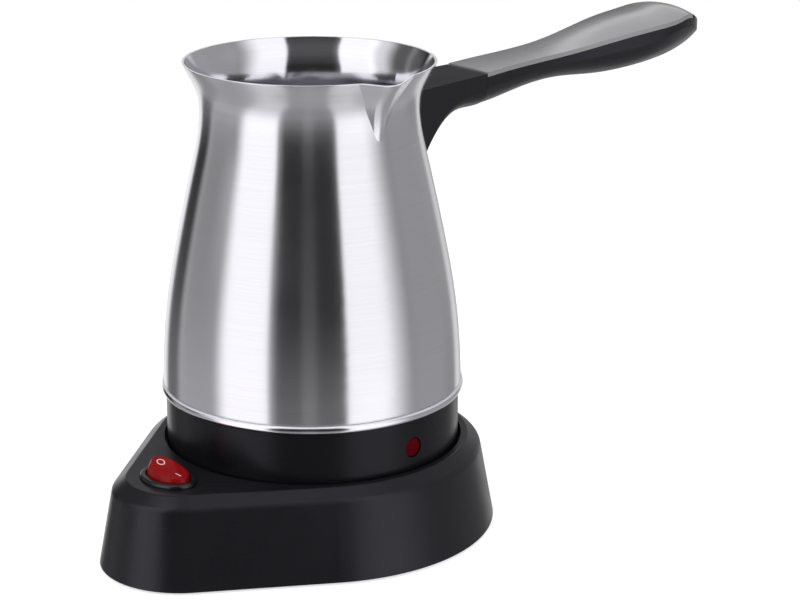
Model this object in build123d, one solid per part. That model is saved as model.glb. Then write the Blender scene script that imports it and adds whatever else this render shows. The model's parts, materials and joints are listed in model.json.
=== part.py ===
"""Electric Turkish coffee pot on a round-socket power base.

Millimetres, +Z up. The origin is on the pot's axis, level with the soles of the feet. The base's tip, with its
switch, points along -X and the pot's handle along +X, turned a little about the axis as the pot stands at rest.
"""
import math
import os

from build123d import *

# ---------------------------------------------------------------- driving dimensions
# clearances
SLIDE_GAP = 0.05          # pins and screws in their own holes
FIT_GAP = 0.2             # loose parts beside each other
MOVE_GAP = 0.6            # moving parts beside fixed ones
JOIN = 0.5                # bosses, ribs and pillars run this far into what carries them
THREE = 3                 # studs, ears and round rows of screws come in threes
BEYOND = 300.0            # larger than the whole product, for spaces that only cut

# power base
ROUND_END_R = 59.5        # footprint radius about the pot's axis
TIP_R = 27.0              # footprint radius at the switch end
TIP_REACH = 55.5          # pot's axis to the centre of the tip
BASE_TOP_Z = 29.0
SHELL_EDGE_Z = 0.8        # lower edge of the shell above the table
SHELL_WALL = 2.2
WALL_LEAN = 4.6           # the side wall leans in this much up to the shoulder
SHOULDER_DROP = 3.5       # height of the sloping shoulder
SHOULDER_RUN = 4.4        # its run inwards
SHOULDER_ROUND = 3.0
CAVITY_RUN = 3.3          # the shoulder's run inside
TOP_ROUND = 1.2
FOOT_PROUD = 1.0          # the feet stand this far below the plate
FOOT_R = 5.5
FOOT_SEAT = 1.0           # depth of the feet's seats in the plate
FOOT_ROUND = 0.5
PLATE_T = 2.2
BOSS_R = 3.4
BASE_SCREW_R = 1.5
BASE_SCREW_L = 9.0
BASE_HEAD_T = 1.2
BASE_HEAD_SINK = 0.8      # the head's seat below the plate's top
HOLE_MORE = 1.0           # blind holes are this much deeper than their screws
TIP_FASTENERS_IN = 13.0   # tip feet and side screws: in from the footprint
REAR_SCREW_IN, REAR_SCREW_AT = 10.3, 71.0    # in from the footprint, degrees from +X
REAR_FOOT_IN, REAR_FOOT_AT = 10.0, 40.0
RECESS_DEPTH = 5.0        # how deep the pot stands in the base
RECESS_FLOOR_T = 2.0
RECESS_LIP_T = 1.6

# cord outlet in the round end
CORD_R = 3.4
CORD_Z = 11.0
GROMMET_WALL = 1.1
GROMMET_FLANGE = 2.2
GROMMET_FLANGE_T = 1.4
CORD_PAD_R = 7.0
CORD_PAD_T = 5.0

# base socket, the tower in the middle of the recess
TOWER_R = 16.8
TOWER_RISE = 12.0         # above the recess floor
TOWER_ROUND = 1.2
SOCKET_FLANGE_R = 23.5
SOCKET_FLANGE_T = 2.0
SOCKET_DROP = 3.5         # flange below the recess floor's underside
SOCKET_BODY_R = 15.6
SOCKET_BODY_DEPTH = 6.0
SLOT_DEPTH = 10.0
PIN_R = 2.0
PIN_BELOW_RINGS = 2.5
PIN_WELL = 1.0            # the centre slot is this much deeper than the others
NEUTRAL_RING_R = 9.7      # middle radius of the ring contact
EARTH_RING_R = 13.8
RING_T = 0.8
RING_SLOT = 1.0           # free space each side of a ring in the tower
RING_OVER_SLOT = 2.0      # rings end this far above the slots' floor
CONTACT_T = 1.6
CONTACT_W = 3.0
CONTACT_TAIL = 5.0        # solder tails below the socket
TOUCH_GAP = 0.4           # a contact stands this far below its ring
SOCKET_SCREW_OUT = 3.5    # screws beyond the tower's side
SOCKET_SCREW_FIRST = 30   # degrees
SOCKET_SCREW_R = 1.2
SOCKET_SCREW_L = 5.0
SOCKET_HEAD_R = 2.3
SOCKET_HEAD_T = 1.4
PILLAR_R = 2.7

# rocker switch
SWITCH_FROM_TIP = 6.3     # switch centre beyond the tip circle's centre
BEZEL_LONG = 10.6         # half lengths of the oval bezel
BEZEL_WIDE = 7.5
BEZEL_T = 1.4
BEZEL_ROUND = 0.98
SWITCH_BODY_IN = 0.75     # the body is this much smaller than the bezel
SWITCH_WALL = 1.05
SWITCH_DEPTH = 16.0
SWITCH_FLOOR_T = 1.5
CLIP_HALF = 2.0           # spring clips under the base's top: half width, root, reach and height
CLIP_ROOT = 1.5
CLIP_PROUD = 0.9
CLIP_H = 2.5
CLIP_GAP = 0.1
ROCKER_LONG = 8.4         # half lengths of the rocker about its hinge
ROCKER_WIDE = 5.2
ROCKER_TILT = 13.0        # degrees each side of level
ROCKER_MID = 3.4          # top of the rocker above its hinge, middle and ends
ROCKER_END = 4.5
ROCKER_DISH_AT = 0.6      # share of its half length where the dish turns up
ROCKER_DISH = 0.45        # top there, below the ends
ROCKER_SKIRT = 3.0
ROCKER_SKIN = 1.4
HINGE_PIN_R = 1.0
HINGE_PIN_L = 1.1
PLUNGER_R = 1.2
PLUNGER_REACH = 8.2       # hinge to the plunger's tip
PLUNGER_L = 6.4
PLUNGER_GAP = 0.3         # tip to the lever when both are level
SLEEVE_WALL = 0.9         # the rocker's sleeve round the plunger
SLEEVE_BELOW = 1.0        # the sleeve goes this far below the skirt
SPRING_SEAT = 0.6         # the spring's seat in the roof
SPRING_TURNS = 4
SPRING_WIRE_R = 0.22
LEVER_TILT = 8.0
LEVER_HALF = 6.5
LEVER_W = 3.6
LEVER_T = 0.6
LEVER_RIB_R = 0.5         # round rib that rocks on the common blade
LEVER_GAP = 0.15
BLADE_T = 0.8
BLADE_W = 4.8
BLADE_FROM_END = 1.2      # the live blade, in from the lever's end
BLADE_TAIL = 7.5          # terminals below the switch body

# the live wire in the base: level run, end of its slope and how far it nears the middle there, start of the last run
BASE_WIRE_UP = 2.5        # above the blade's low end
BASE_WIRE_LEVEL = 12.0
BASE_WIRE_SLOPE = 26.0
BASE_WIRE_NEARS = 3.0
BASE_WIRE_LAST = 14.0
BASE_WIRE_BEND = 4.0

# pot
POT_TURN = -6.5           # the pot's turn on its base at rest, degrees
STAND_GAP = 0.1           # collar above the recess floor
COLLAR_R = 47.5
COLLAR_H = 21.1
COLLAR_WALL = 2.0
RECESS_GAP = 1.0          # collar to recess, all round
BEAD_H = 2.6
BEAD_PROUD = 1.5          # beyond the collar
BEAD_ROUND = 0.9          # depth of its round face
FLOOR_T = 0.9
FLOOR_SINK = 0.4          # the floor's underside below the bead's top
FLOOR_IN = 0.5            # the floor's edge inside the wall's outline
STEEL_T = 0.8
BODY_H = 103.8            # steel wall, floor to rim
# steel wall outline: outer radii, the waist and the flare below the rim, and the rest as shares of the waist's height
BODY_FOOT_R = 48.3
SHOULDER_SHARE, SHOULDER_R = 0.2775, 46.7
BELLY_SHARE_UP, BELLY_R = 0.578, 42.2
WAIST_IN_SHARE, WAIST_IN_R = 0.8092, 37.8
WAIST_DROP, WAIST_R = 17.3, 34.9
FLARE_DROP, FLARE_R = 8.8, 35.7
RIM_R = 39.9
FOOT_SLOPE, RIM_SLOPE = -0.02, 0.42    # run per rise of the wall at its foot and at its rim
SPOUT_AT = -90.0          # degrees about the axis from the handle
SPOUT_DROP = 22.5         # foot of the spout's ridge below the rim
SPOUT_FLANK = 30.0        # each flat flank faces this many degrees off the spout's axis
SPOUT_STEPS = (0.0, 0.25, 0.5, 0.75, 1.0, 1.2)    # cross-sections, as shares of that height
SPOUT_OUT = 4.7           # its tip beyond the rim
SPOUT_TIP_ROUND = 8.0
SPOUT_SHARPER = 0.6       # share of that round that is gone at the ridge's foot
SPOUT_DIP = 2.0           # its tip below the rim
SPOUT_DIP_IN = 1.5        # the dip starts this far inside the rim

# below the pot's floor
SPREADER_GAP = 0.3        # the spreader's edge to the studs
SPREADER_T = 3.0
BLIND_ROOF = 0.8          # metal left over the spreader's blind holes
ELEMENT_IN = 1.7          # the element, in from the spreader's edge
ELEMENT_W = 6.6
ELEMENT_H = 6.2
ELEMENT_GAP_DEG = 60.0    # open part of the element's ring
TERMINAL_BACK_DEG = 4.0   # terminals, back from the ring's ends
TERMINAL_R = 1.5
TERMINAL_L = 4.5
STUD_GAP = 0.15           # studs to the seal
STUD_R = 1.9
STUD_L = 8.5
STUD_ROOF = 1.0           # metal left over the stud's thread
STUD_SCREW_R = 1.2
STUD_SCREW_IN = 5.0       # the collar's screws in the studs
COLLAR_SEAT = 2.0         # depth of their heads' seats
COLLAR_HEAD_T = 1.5
COLLAR_BOSS_R = 3.4
COLLAR_BOSS_H = 8.0
COLLAR_SCREW_FIRST = 0    # degrees
RIB_HALF = 1.0
COVER_T = 2.0
COVER_LIFT = 0.5          # cover above the collar's lower edge
COVER_BOSS_R = 2.9
COVER_BOSS_H = 9.0
COVER_BOSS_GAP = 0.6      # boss to the collar's wall
COVER_SCREW_FIRST = 60    # degrees
COVER_SCREW_R = 1.2
COVER_SCREW_SHORT = 1.5   # the screw is this much shorter than its boss
COVER_SEAT = 1.2
COVER_HEAD_T = 1.1
CHIMNEY_WALL = 1.4        # tube of the cover round the tower
CONNECTOR_R = 17.6
CONNECTOR_T = 4.5
CONNECTOR_GAP = 2.0       # top of the tower to the connector
RING_ROOF = 1.5           # connector left over the contact rings
PIN_HEAD_R = 3.2
PIN_HEAD_T = 1.0
PIN_HEAD_GAP = 0.4        # round the pin's head
PIN_HEAD_SINK = 0.8
EAR_R = 3.2
EAR_IN = 0.4              # the ears run this far into the connector
EAR_FIRST = 90            # degrees
EAR_SCREW_R = 1.1
EAR_SCREW_IN = 1.8        # its screws in the spreader
EAR_HEAD_R = 2.0
EAR_HEAD_T = 1.2
EAR_HEAD_SINK = 1.4       # screw heads sunk in the ears
SEAL_W = 2.2
THERMOSTAT_R = 5.2
THERMOSTAT_H = 5.4
THERMOSTAT_GAP = 0.9      # to the element
THERMOSTAT_BLADE_X = 2.6
THERMOSTAT_BLADE_W = 3.2
THERMOSTAT_BLADE_T = 0.8
THERMOSTAT_BLADE_L = 4.0
LENS_R = 3.2
LENS_Z_UP = 11.9          # lens centre above the collar's lower edge
LENS_AT = 4.5             # degrees on from the spout's side of the collar
LENS_FLANGE = 1.1
LENS_FLANGE_T = 1.0
LENS_INSET = 0.35         # its face inside the collar's
LENS_ROUND = 0.6
LENS_BEHIND = 0.3         # the flange behind the collar's wall
LAMP_R = 2.2
LAMP_L = 10.0
LAMP_ROUND = 0.8
WIRE_R = 0.9
LEAD_R = 0.6

# handle, along +X of the pot
SEAM_X = 65.5             # parting line between neck and grip
HANDLE_END_X = 169.5
END_ROUND_FROM_X = 145.5  # the rounded end starts here
HANDLE_HALF = 15.2        # half width at its widest
HANDLE_THROAT = 9.4       # half width at its slimmest
THROAT_X = 99.0
SEAM_HALF = 10.2
SEAM_GAP = 0.3
NECK_STEP = 0.5           # neck's top below the grip's
COVER_SKIN = 1.5
COVER_SETBACK = 1.8       # black rim beyond the cover at the handle's end
COVER_END_WIDER = 0.5     # the cover's rounded end runs out over the grip's side, so the rim's ends are blunt
TONGUE_L = 14.5
TONGUE_ROOT = 7.0         # it starts this far inside the neck
TONGUE_HALF = 4.5
TONGUE_T = 3.0
TONGUE_SINK = 2.4         # below the deck under the cover
TAB_L = 17.0
TAB_HALF = 5.0
TAB_T = 2.0
TAB_BELOW_WAIST = 1.5
PLATE_UP = 4.2            # weld plate above and below the tab
PLATE_WIDER = 2.0         # weld plate beyond the tab's sides
PLATE_ROOT = 6.0          # weld plate inside the waist, cut to the wall
PLATE_OUT = 2.6           # weld plate beyond the waist
HANDLE_SCREW_IN = 3.25    # in from the tab's end
HANDLE_SCREW_SEAT = 2.4   # its head's seat below the middle of the tab
HANDLE_SCREW_OVER = 4.0   # its hole above the middle of the tab
HANDLE_SCREW_L = 6.0
HANDLE_SCREW_R = 1.9
HANDLE_HEAD_T = 1.6
GRIP_SCREW_R = 1.25
GRIP_SCREW_L = 3.6
GRIP_HEAD_T = 1.1
GRIP_HEAD_SINK = 1.2      # the heads' seats below the deck
GRIP_SCREW_AT = (4.5, 10.5)    # beyond the parting line
GRIP_WALL = 2.4
GRIP_ROOMS = 4            # hollows between ribs, under the cover
ROOM_FROM_TONGUE = 4.0
ROOM_INTO_END = 6.0       # the last one goes this far into the rounded end
BELLY_WIDE = 1.03         # the belly's oval is this much wider than the grip
BELLY_SHARE = 0.75        # and takes this share of its depth
BELLY_SHARE_END = 1.45    # share past the grip's end, which rounds the nose
BELLY_END = 4.4           # the oval would close this far beyond the grip's end
BELLY_LEAST = 4.0         # least depth that the shares are taken of
TRUNK_OVER = 7.0          # the blank's flat top above the highest point of the top line
STATION_BEFORE = 5.0      # cross-sections start before the parting line and go on past the end
STATION_PAST = 4.0
NECK_BELLY = 6.0
NECK_STATIONS = 6
NECK_FROM_X = 28.0        # the neck starts inside the pot's wall line and is cut to it
NECK_HALF = 12.6          # its half width there
NECK_TOP_RISE = 0.045     # slope of its top
STATIONS = 11             # even cross-sections along the grip
# lines along the handle: distance from the pot's axis, height above the pot's waist
NECK_LOW_LINE = (
    (28.0, -36.5), (36.0, -24.0), (41.0, -16.5), (46.0, -10.5), (51.0, -7.5), (57.5, -6.0), (SEAM_X, -5.5),
)
GRIP_TOP_LINE = (
    (60.0, 6.0), (85.0, 8.3), (105.0, 10.1), (125.0, 13.7), (140.0, 16.5),
    (150.0, 18.0), (157.0, 18.4), (163.0, 15.4), (169.0, 11.1), (173.0, 8.1),
)
GRIP_LOW_LINE = (
    (60.0, -6.0), (75.0, -4.5), (90.0, -1.8), (105.0, -1.1), (120.0, -2.0),
    (135.0, -1.6), (147.0, -0.3), (158.0, 1.7), (166.0, 5.1), (174.0, 12.5),
)
CROWN_START = 0.2         # rise of the grip's top over its full width, at the parting line and at the end
CROWN_END = 3.2
CROWN_WIDE = 1.5          # the crown is drawn over this many half widths
CUT_ABOVE = 25.0          # the space cleared above the grip

# ---------------------------------------------------------------- sizes that follow
side_slope = math.asin((ROUND_END_R - TIP_R) / TIP_REACH)
shoulder_z = BASE_TOP_Z - SHOULDER_DROP
plate_z = FOOT_PROUD
plate_top_z = plate_z + PLATE_T
recess_floor_z = BASE_TOP_Z - RECESS_DEPTH
recess_under_z = recess_floor_z - RECESS_FLOOR_T
recess_r = COLLAR_R + RECESS_GAP
tower_top_z = recess_floor_z + TOWER_RISE
socket_flange_z = recess_under_z - SOCKET_DROP
socket_body_z = socket_flange_z - SOCKET_FLANGE_T - SOCKET_BODY_DEPTH
slot_floor_z = tower_top_z - SLOT_DEPTH
ring_low_z = slot_floor_z + RING_OVER_SLOT
pin_low_z = ring_low_z - PIN_BELOW_RINGS
socket_screw_at_r = TOWER_R + SOCKET_SCREW_OUT
switch_x = -(TIP_REACH + SWITCH_FROM_TIP)
bezel_top_z = BASE_TOP_Z + BEZEL_T
hinge_z = BASE_TOP_Z
open_long = BEZEL_LONG - SWITCH_BODY_IN - SWITCH_WALL
open_wide = BEZEL_WIDE - SWITCH_BODY_IN - SWITCH_WALL
switch_floor_z = BASE_TOP_Z - SWITCH_DEPTH
lever_z = hinge_z - PLUNGER_REACH - PLUNGER_GAP - LEVER_T
blade_low_z = switch_floor_z - BLADE_TAIL
live_blade_y = LEVER_HALF - BLADE_FROM_END
live_blade_top_z = lever_z - live_blade_y * math.tan(math.radians(LEVER_TILT)) - LEVER_GAP

collar_z = recess_floor_z + STAND_GAP
collar_top_z = collar_z + COLLAR_H
floor_under_z = collar_top_z + BEAD_H - FLOOR_SINK
floor_z = floor_under_z + FLOOR_T
rim_z = floor_z + BODY_H
waist_at = BODY_H - WAIST_DROP
waist_z = floor_z + waist_at
spreader_z = floor_under_z - SPREADER_T
element_z = spreader_z - ELEMENT_H
connector_z = tower_top_z + CONNECTOR_GAP
connector_top_z = connector_z + CONNECTOR_T
cover_z = collar_z + COVER_LIFT
cover_top_z = cover_z + COVER_T
lens_z = collar_z + LENS_Z_UP
stud_low_z = floor_under_z - STUD_L
terminal_low_z = element_z - TERMINAL_L
collar_in_r = COLLAR_R - COLLAR_WALL
seal_in_r = collar_in_r - SLIDE_GAP - SEAL_W
stud_at_r = seal_in_r - STUD_GAP - STUD_R
spreader_r = stud_at_r - STUD_R - SPREADER_GAP
element_r = spreader_r - ELEMENT_IN - ELEMENT_W / 2
thermostat_at_r = element_r - ELEMENT_W / 2 - THERMOSTAT_GAP - THERMOSTAT_R
cover_screw_at_r = collar_in_r - COVER_BOSS_R - COVER_BOSS_GAP
ear_at_r = CONNECTOR_R + EAR_R - EAR_IN
trunk_top = max(up for _, up in GRIP_TOP_LINE) + TRUNK_OVER
handle_screw_x = WAIST_R + TAB_L - HANDLE_SCREW_IN

BODY_OUTLINE = (
    (0.0, BODY_FOOT_R),
    (SHOULDER_SHARE * waist_at, SHOULDER_R),
    (BELLY_SHARE_UP * waist_at, BELLY_R),
    (WAIST_IN_SHARE * waist_at, WAIST_IN_R),
    (waist_at, WAIST_R),
    (BODY_H - FLARE_DROP, FLARE_R),
    (BODY_H, RIM_R),
)


# ---------------------------------------------------------------- helpers
def polar(radius, degrees):
    """X and Y of a point about the pot's axis."""
    return radius * math.cos(math.radians(degrees)), radius * math.sin(math.radians(degrees))


def rod(radius, x, y, low_z, high_z):
    """Upright cylinder between two heights."""
    return Pos(x, y, (low_z + high_z) / 2) * Cylinder(radius, high_z - low_z)


def tube(outer_r, inner_r, low_z, high_z):
    """Upright ring about the pot's axis."""
    return rod(outer_r, 0, 0, low_z, high_z) - rod(inner_r, 0, 0, low_z - 1, high_z + 1)


def block(low, high):
    """Box between two corners."""
    size = [h - l for l, h in zip(low, high)]
    middle = [(h + l) / 2 for l, h in zip(low, high)]
    return Pos(*middle) * Box(*size)


def slab(near_x, far_x):
    """All the space between two upright planes across X."""
    return block((near_x, -BEYOND, 0), (far_x, BEYOND, BEYOND))


def round_bar(points, bends, radius):
    """Wire along straight runs joined by tangent arcs."""
    path = FilletPolyline(*points, radius=bends)
    ring = Plane(origin=path @ 0, z_dir=path % 0) * Circle(radius)
    return sweep(ring, path=path)


def footprint(inset, z):
    """Teardrop face at height z, set in from the base's footprint."""
    big, small = ROUND_END_R - inset, TIP_R - inset
    s, c = math.sin(side_slope), math.cos(side_slope)
    big_left, big_right = (-big * s, big * c), (-big * s, -big * c)
    tip_left, tip_right = (-TIP_REACH - small * s, small * c), (-TIP_REACH - small * s, -small * c)
    outline = Curve() + [
        ThreePointArc(big_right, (big, 0), big_left),
        Line(big_left, tip_left),
        ThreePointArc(tip_left, (-TIP_REACH - small, 0), tip_right),
        Line(tip_right, big_right),
    ]
    return Pos(0, 0, z) * make_face(outline)


def lean_at(z):
    """How far the base's side wall has leaned in at height z."""
    return WALL_LEAN * (z - SHELL_EDGE_Z) / (shoulder_z - SHELL_EDGE_Z)


def teardrop(low_inset, low_z, high_inset, high_z):
    """Solid between two footprints."""
    return loft([footprint(low_inset, low_z), footprint(high_inset, high_z)], ruled=True)


def side_point(along, inset, side):
    """Point beside the base's straight flank: 0 at the round end, 1 at the tip."""
    s, c = math.sin(side_slope), math.cos(side_slope)
    x = -(ROUND_END_R - inset) * s * (1 - along) + (-TIP_REACH - (TIP_R - inset) * s) * along
    y = (ROUND_END_R - inset) * c * (1 - along) + (TIP_R - inset) * c * along
    return x, side * y


def edges_at(solid, z):
    """All edges that lie level at height z."""
    return solid.edges().filter_by(
        lambda e: abs(e.bounding_box().min.Z - z) < 1e-4 and abs(e.bounding_box().max.Z - z) < 1e-4
    )


def screw(radius, length, head_r, head_t, head_up):
    """Round-headed screw on the Z axis with its head's seat at z = 0."""
    head_z = (0, head_t) if head_up else (-head_t, 0)
    shank_z = (-length, 0) if head_up else (0, length)
    body = rod(head_r, 0, 0, *head_z) + rod(radius, 0, 0, *shank_z)
    drive_z = head_z[1] if head_up else head_z[0]
    cross = Box(head_r, 0.6, head_t) + Box(0.6, head_r, head_t)
    return body - Pos(0, 0, drive_z) * cross


def three_places(radius, first_deg):
    """Even places round the pot's axis."""
    return [polar(radius, first_deg + i * 360 / THREE) for i in range(THREE)]


def three_of(part, radius, first_deg):
    """Copies of a part at those places."""
    return [Pos(x, y, 0) * part for x, y in three_places(radius, first_deg)]


BASE_SCREW_PLACES = (
    [side_point(0.5, TIP_FASTENERS_IN, side) for side in (1, -1)]
    + [polar(ROUND_END_R - REAR_SCREW_IN, side * REAR_SCREW_AT) for side in (1, -1)]
)
FOOT_PLACES = {
    "foot_tip_left": side_point(1.0, TIP_FASTENERS_IN, 1),
    "foot_tip_right": side_point(1.0, TIP_FASTENERS_IN, -1),
    "foot_rear_left": polar(ROUND_END_R - REAR_FOOT_IN, REAR_FOOT_AT),
    "foot_rear_right": polar(ROUND_END_R - REAR_FOOT_IN, -REAR_FOOT_AT),
}


# ---------------------------------------------------------------- power base
def make_base_shell():
    outer = teardrop(0, SHELL_EDGE_Z, WALL_LEAN, shoulder_z) + teardrop(
        WALL_LEAN, shoulder_z, WALL_LEAN + SHOULDER_RUN, BASE_TOP_Z
    )
    outer = fillet(edges_at(outer, shoulder_z), SHOULDER_ROUND)
    outer = fillet(edges_at(outer, BASE_TOP_Z), TOP_ROUND)
    ceiling_z = BASE_TOP_Z - SHELL_WALL
    bend_z = shoulder_z - SHELL_WALL / 2
    low_inset = SHELL_WALL + lean_at(0)
    cavity = teardrop(low_inset, 0, SHELL_WALL + lean_at(bend_z), bend_z) + teardrop(
        SHELL_WALL + lean_at(bend_z), bend_z, SHELL_WALL + WALL_LEAN + CAVITY_RUN, ceiling_z
    )
    shell = outer - cavity
    lip = rod(recess_r + RECESS_LIP_T, 0, 0, recess_under_z, BASE_TOP_Z - TOP_ROUND) & outer
    shell += lip
    for x, y in BASE_SCREW_PLACES:
        shell += rod(BOSS_R, x, y, plate_top_z, ceiling_z + JOIN)
    for x, y in three_places(socket_screw_at_r, SOCKET_SCREW_FIRST):
        shell += rod(PILLAR_R, x, y, socket_flange_z, recess_under_z + JOIN)
    pad_x = outlet_face_x()
    shell += Pos(pad_x - CORD_PAD_T / 2, 0, CORD_Z) * Rot(0, 90, 0) * Cylinder(CORD_PAD_R, CORD_PAD_T)
    # openings
    shell -= rod(recess_r, 0, 0, recess_floor_z, BEYOND)
    shell -= rod(TOWER_R + FIT_GAP, 0, 0, 0, BASE_TOP_Z)
    shell -= Pos(pad_x, 0, CORD_Z) * Rot(0, 90, 0) * Cylinder(CORD_R + GROMMET_WALL + SLIDE_GAP, 4 * CORD_PAD_T)
    shell -= oval(
        BEZEL_WIDE - SWITCH_BODY_IN + FIT_GAP, BEZEL_LONG - SWITCH_BODY_IN + FIT_GAP, switch_floor_z, bezel_top_z
    )
    for x, y in BASE_SCREW_PLACES:
        shell -= rod(BASE_SCREW_R + SLIDE_GAP, x, y, 0, plate_top_z - BASE_HEAD_SINK + BASE_SCREW_L + HOLE_MORE)
    for x, y in three_places(socket_screw_at_r, SOCKET_SCREW_FIRST):
        shell -= rod(SOCKET_SCREW_R + SLIDE_GAP, x, y, 0, recess_under_z)
    return shell


def outlet_face_x():
    """Outer face of the flat pad round the cord's outlet."""
    return ROUND_END_R - lean_at(CORD_Z - CORD_PAD_R)


def make_base_plate():
    gap = SHELL_WALL + FIT_GAP
    plate = teardrop(gap + lean_at(plate_z), plate_z, gap + lean_at(plate_top_z), plate_top_z)
    for x, y in BASE_SCREW_PLACES:
        plate -= rod(BASE_SCREW_R + FIT_GAP, x, y, 0, BEYOND)
        plate -= rod(2 * BASE_SCREW_R + FIT_GAP, x, y, 0, plate_top_z - BASE_HEAD_SINK)
    for x, y in FOOT_PLACES.values():
        plate -= rod(FOOT_R + FIT_GAP, x, y, 0, plate_z + FOOT_SEAT)
    return plate


def make_foot(x, y):
    foot = rod(FOOT_R, x, y, 0, plate_z + FOOT_SEAT)
    return fillet(edges_at(foot, 0), FOOT_ROUND)


def make_base_screws():
    seat_z = plate_top_z - BASE_HEAD_SINK
    one = Pos(0, 0, seat_z) * screw(BASE_SCREW_R, BASE_SCREW_L, 2 * BASE_SCREW_R, BASE_HEAD_T, False)
    return [Pos(x, y, 0) * one for x, y in BASE_SCREW_PLACES]


def make_cord_grommet():
    """Rubber ring in the outlet: a neck between two flanges."""
    face_x = outlet_face_x()
    inner_x = face_x - CORD_PAD_T
    outer_r = CORD_R + GROMMET_WALL
    length = CORD_PAD_T + 2 * GROMMET_FLANGE_T
    middle_x = (face_x + inner_x) / 2
    lying = Rot(0, 90, 0)
    ring = lying * Cylinder(outer_r, length)
    for side in (1, -1):
        ring += Pos(side * (CORD_PAD_T + GROMMET_FLANGE_T) / 2, 0, 0) * lying * Cylinder(
            CORD_R + GROMMET_FLANGE, GROMMET_FLANGE_T
        )
    ring -= lying * Cylinder(CORD_R, 2 * length)
    return Pos(middle_x, 0, CORD_Z) * ring


# ---------------------------------------------------------------- base socket
def slot_ring(middle_r, low_z, high_z):
    """Free ring in the tower for one of the pot's contact rings."""
    half = RING_T / 2 + RING_SLOT
    return tube(middle_r + half, middle_r - half, low_z, high_z)


def contact_places():
    """Where the two outer contacts stand."""
    return {"neutral": (NEUTRAL_RING_R, 0), "earth": (0, EARTH_RING_R)}


def contact_blade(x, y, grow):
    """Upright contact strip under a ring, grown a little to make its slot."""
    half_x, half_y = CONTACT_T / 2 + grow, CONTACT_W / 2 + grow
    if y:
        half_x, half_y = half_y, half_x
    low = socket_body_z - CONTACT_TAIL - grow
    high = ring_low_z - TOUCH_GAP + grow
    return block((x - half_x, y - half_y, low), (x + half_x, y + half_y, high))


def make_base_socket():
    body = rod(TOWER_R, 0, 0, socket_flange_z, tower_top_z)
    body = fillet(edges_at(body, tower_top_z), TOWER_ROUND)
    body += rod(SOCKET_FLANGE_R, 0, 0, socket_flange_z - SOCKET_FLANGE_T, socket_flange_z)
    body += rod(SOCKET_BODY_R, 0, 0, socket_body_z, socket_flange_z)
    body -= slot_ring(NEUTRAL_RING_R, slot_floor_z, BEYOND)
    body -= slot_ring(EARTH_RING_R, slot_floor_z, BEYOND)
    body -= rod(PIN_R + MOVE_GAP, 0, 0, slot_floor_z - PIN_WELL, BEYOND)
    body -= rod(PIN_R + SLIDE_GAP, 0, 0, 0, tower_top_z)
    for x, y in contact_places().values():
        body -= contact_blade(x, y, SLIDE_GAP)
    for hole in three_of(rod(SOCKET_SCREW_R + SLIDE_GAP, 0, 0, 0, BEYOND), socket_screw_at_r, SOCKET_SCREW_FIRST):
        body -= hole
    return body


def make_socket_live_contact():
    """Round contact under the pot's centre pin."""
    top_z = pin_low_z - TOUCH_GAP
    pin = rod(PIN_R, 0, 0, socket_body_z, top_z)
    return pin + rod(PIN_R / 2, 0, 0, socket_body_z - CONTACT_TAIL, socket_body_z)


def make_socket_screws():
    one = screw(SOCKET_SCREW_R, SOCKET_SCREW_L, SOCKET_HEAD_R, SOCKET_HEAD_T, False)
    return three_of(Pos(0, 0, socket_flange_z - SOCKET_FLANGE_T) * one, socket_screw_at_r, SOCKET_SCREW_FIRST)


def make_base_live_wire():
    """Insulated wire from the switch's live blade to the socket's centre contact."""
    start_x = switch_x + BLADE_W / 2
    level_z = blade_low_z + BASE_WIRE_UP
    end_z = socket_body_z - CONTACT_TAIL / 2
    points = (
        (start_x, live_blade_y, level_z),
        (start_x + BASE_WIRE_LEVEL, live_blade_y, level_z),
        (start_x + BASE_WIRE_SLOPE, live_blade_y - BASE_WIRE_NEARS, end_z),
        (-BASE_WIRE_LAST, 0, end_z),
        (-PIN_R / 2, 0, end_z),
    )
    return round_bar(points, BASE_WIRE_BEND, WIRE_R)


# ---------------------------------------------------------------- rocker switch
def oval(half_x, half_y, low_z, high_z):
    """Upright oval column at the switch's place."""
    return Pos(switch_x, 0, low_z) * extrude(Ellipse(half_x, half_y), high_z - low_z)


def blade(x_half, y, y_half, top_z, grow):
    """Flat terminal through the switch's floor."""
    low = (switch_x - x_half - grow, y - y_half - grow, blade_low_z - grow)
    high = (switch_x + x_half + grow, y + y_half + grow, top_z + grow)
    return block(low, high)


def common_blade(grow=0.0):
    return blade(BLADE_W / 2, 0, BLADE_T / 2, lever_z - LEVER_RIB_R - LEVER_GAP, grow)


def live_blade(grow=0.0):
    return blade(BLADE_W / 2, live_blade_y, BLADE_T / 2, live_blade_top_z, grow)


def make_switch_housing():
    rim = oval(BEZEL_WIDE, BEZEL_LONG, BASE_TOP_Z, bezel_top_z)
    rim = fillet(edges_at(rim, bezel_top_z), BEZEL_ROUND)
    body_x, body_y = BEZEL_WIDE - SWITCH_BODY_IN, BEZEL_LONG - SWITCH_BODY_IN
    housing = rim + oval(body_x, body_y, switch_floor_z, BASE_TOP_Z)
    clip_top_z = BASE_TOP_Z - SHELL_WALL - CLIP_GAP
    clip = block(
        (switch_x - CLIP_HALF, body_y - CLIP_ROOT, clip_top_z - CLIP_H),
        (switch_x + CLIP_HALF, body_y + CLIP_PROUD, clip_top_z),
    )
    housing += clip + mirror(clip, about=Plane.XZ)
    housing -= oval(open_wide, open_long, switch_floor_z + SWITCH_FLOOR_T, BEYOND)
    pin_holes = Pos(switch_x, 0, hinge_z) * Rot(0, 90, 0) * Cylinder(
        HINGE_PIN_R + SLIDE_GAP, 2 * (ROCKER_WIDE + HINGE_PIN_L + SLIDE_GAP)
    )
    housing -= pin_holes
    return housing - common_blade(SLIDE_GAP) - live_blade(SLIDE_GAP)


def at_rocker(part):
    """Place a rocker-frame part (hinge on the X axis) at the hinge, tipped to the rest position."""
    return Pos(switch_x, 0, hinge_z) * Rot(ROCKER_TILT, 0, 0) * part


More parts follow.
